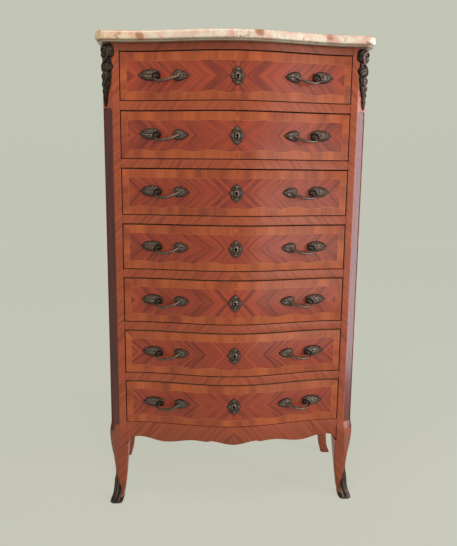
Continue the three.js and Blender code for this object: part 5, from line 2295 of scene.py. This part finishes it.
LAMPS = (
    Lamp("key_window", (2.3, -2.0, 2.0), (1.4, 1.4), 3.0, "#FFF9F0"),
    Lamp("low_window", (4.05, -2.63, 1.6), (1.8, 2.1), 99.0, "#FFFFFE"),
    Lamp("ceiling_softbox", (-0.35, -1.05, 3.0), (1.2, 1.2), 24.5, "#FFECDA", (-0.1, -0.15, 1.3)),
    Lamp("haze_card", (1.3, -2.45, 1.0), (0.9, 2.2), 2.0, "#FDFFEC", card=True),
    Lamp("low_haze_card", (1.25, -2.1, 0.5), (0.8, 0.9), 5.0, "#F9FEF4", (0.1, 0.0, 0.5), True),
    Lamp("side_card", (1.29, 0.18, 0.955), (0.6, 1.85), 15.0, "#FFE8EE", (0.34, -0.13, 0.955), True),
    Lamp("warm_fill", (-2.2, -2.2, 1.6), (1.6, 1.6), 0.6, "#FFF6EA"),
)


@dataclass(frozen=True)
class Studio:
    """A pale floor that turns up into a wall far off, soft light from the upper right, and the camera.

    Args:
        floor: radius of the flat floor.
        bend: radius of the turn from floor to wall.
        wall: height of the wall.
        paper: colour of floor and wall.
        glow: the light that they give by themselves, which keeps them even.
        glow_strength: how strong that is.
        sky: colour of the light from all round.
        sky_strength: how strong that is.
        eye: where the camera stands.
        pitch: how far it looks down, in degrees.
        yaw: how far it is turned to the right.
        roll: how far it leans.
        lens: focal length, in millimetres.
        sensor: width of the sensor, in millimetres.
    """

    floor: float = 7.0
    bend: float = 3.0
    wall: float = 3.0
    paper: str = "#6E6F69"
    glow: str = "#C4C6B8"
    glow_strength: float = 0.86
    sky: str = "#DCDDD6"
    sky_strength: float = 0.19
    eye: Triple = (-0.102, -1.704, 0.956)
    pitch: float = 9.87
    yaw: float = 3.10
    roll: float = -0.56
    lens: float = 38.47
    sensor: float = 36.0

    def backdrop(self) -> None:
        """The floor and wall: a line of floor, quarter circle and wall, turned about the middle."""
        a = np.linspace(0, np.pi / 2, 24)
        edge = self.floor + self.bend
        radius = np.concatenate([[0.001, 1.5, 4.0], self.floor + self.bend * np.sin(a), [edge]])
        height = np.concatenate([[0, 0, 0], self.bend * (1 - np.cos(a)), [self.bend + self.wall]])
        turn = np.linspace(0, 2 * np.pi, 96, endpoint=False)
        plan = radius[:, None, None] * np.stack([np.cos(turn), np.sin(turn)], -1)
        skin = shell(raised(plan, height[:, None]))
        skin.caps = [cap for cap in skin.caps if skin.points[cap[0], 2] < 1]
        skin.quads = skin.quads[:, ::-1]
        made = mesh_object("studio_floor", skin, 60.0)
        paint, tree = new_material("pale_studio_paper")
        surface = {"Base Color": linear(self.paper), "Roughness": 0.9, "Specular IOR Level": 0.1}
        surface |= {"Emission Color": linear(self.glow), "Emission Strength": self.glow_strength}
        add(tree, "OutputMaterial", {"Surface": add(tree, "BsdfPrincipled", surface)})
        made.data.materials.append(paint)

    def camera(self) -> None:
        """The camera at the photograph's place: its axes follow from pitch, yaw and roll."""
        pitch, yaw, roll = (math.radians(angle) for angle in (self.pitch, self.yaw, self.roll))
        ahead = Vector((math.sin(yaw) * math.cos(pitch), math.cos(yaw) * math.cos(pitch), -math.sin(pitch)))
        right = Vector((math.cos(yaw), -math.sin(yaw), 0.0))
        down = ahead.cross(right)
        across = math.cos(roll) * right + math.sin(roll) * down
        up = math.sin(roll) * right - math.cos(roll) * down
        data = bpy.data.cameras.new("camera")
        data.lens, data.sensor_width = self.lens, self.sensor
        made = bpy.data.objects.new("camera", data)
        turned = Matrix((across, up, -ahead)).transposed().to_4x4()
        made.matrix_world = Matrix.Translation(self.eye) @ turned
        bpy.context.scene.collection.objects.link(made)
        bpy.context.scene.camera = made

    def build(self) -> None:
        """Sets up floor, light and camera."""
        scene = bpy.context.scene
        scene.view_settings.view_transform = "Standard"
        world = bpy.data.worlds.new("soft_daylight")
        world.use_nodes = True
        light = world.node_tree.nodes["Background"].inputs
        light["Color"].default_value, light["Strength"].default_value = linear(self.sky), self.sky_strength
        scene.world = world
        self.backdrop()
        for lamp in LAMPS:
            lamp.hang()
        self.camera()


def finish_node(frame: dict, node: str, finish: Finish) -> None:
    """Gives a node of the frame its material.

    Args:
        frame: the loaded frame.
        node: the node's name.
        finish: its finish.
    """
    mesh = frame["nodes"][node].data
    mesh.materials.clear()
    mesh.materials.append(finish.material)
    LOG.info("%s: the frame's own, finished", node)


def main() -> None:
    """Builds the chest's pieces in order around the frame."""
    logging.basicConfig(level=logging.INFO, format="%(message)s")
    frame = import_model()
    layout = Layout.from_frame()
    low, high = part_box("drawer_1_front")
    start, end = layout.panel_ends
    flank = ((end - start) / 2, (layout.case_top - layout.base) / 2)
    finishes = Finishes.build((high.x, (high.z - low.z) / 2), flank)
    for part in (MarbleTop, FrontPosts, CaseSides, FrontRails, BackPanel, CornerMount, Sabots):
        part(layout, finishes).build()
    for number in range(1, layout.drawers + 1):
        body = f"drawer_{number}"
        Drawer(layout, finishes, body, number=number).build()
        finish_node(frame, f"{body}_box", finishes.oak)
        finish_node(frame, f"{body}_lock_bolt", finishes.steel)
    Studio().build()


if __name__ == "__main__":
    main()
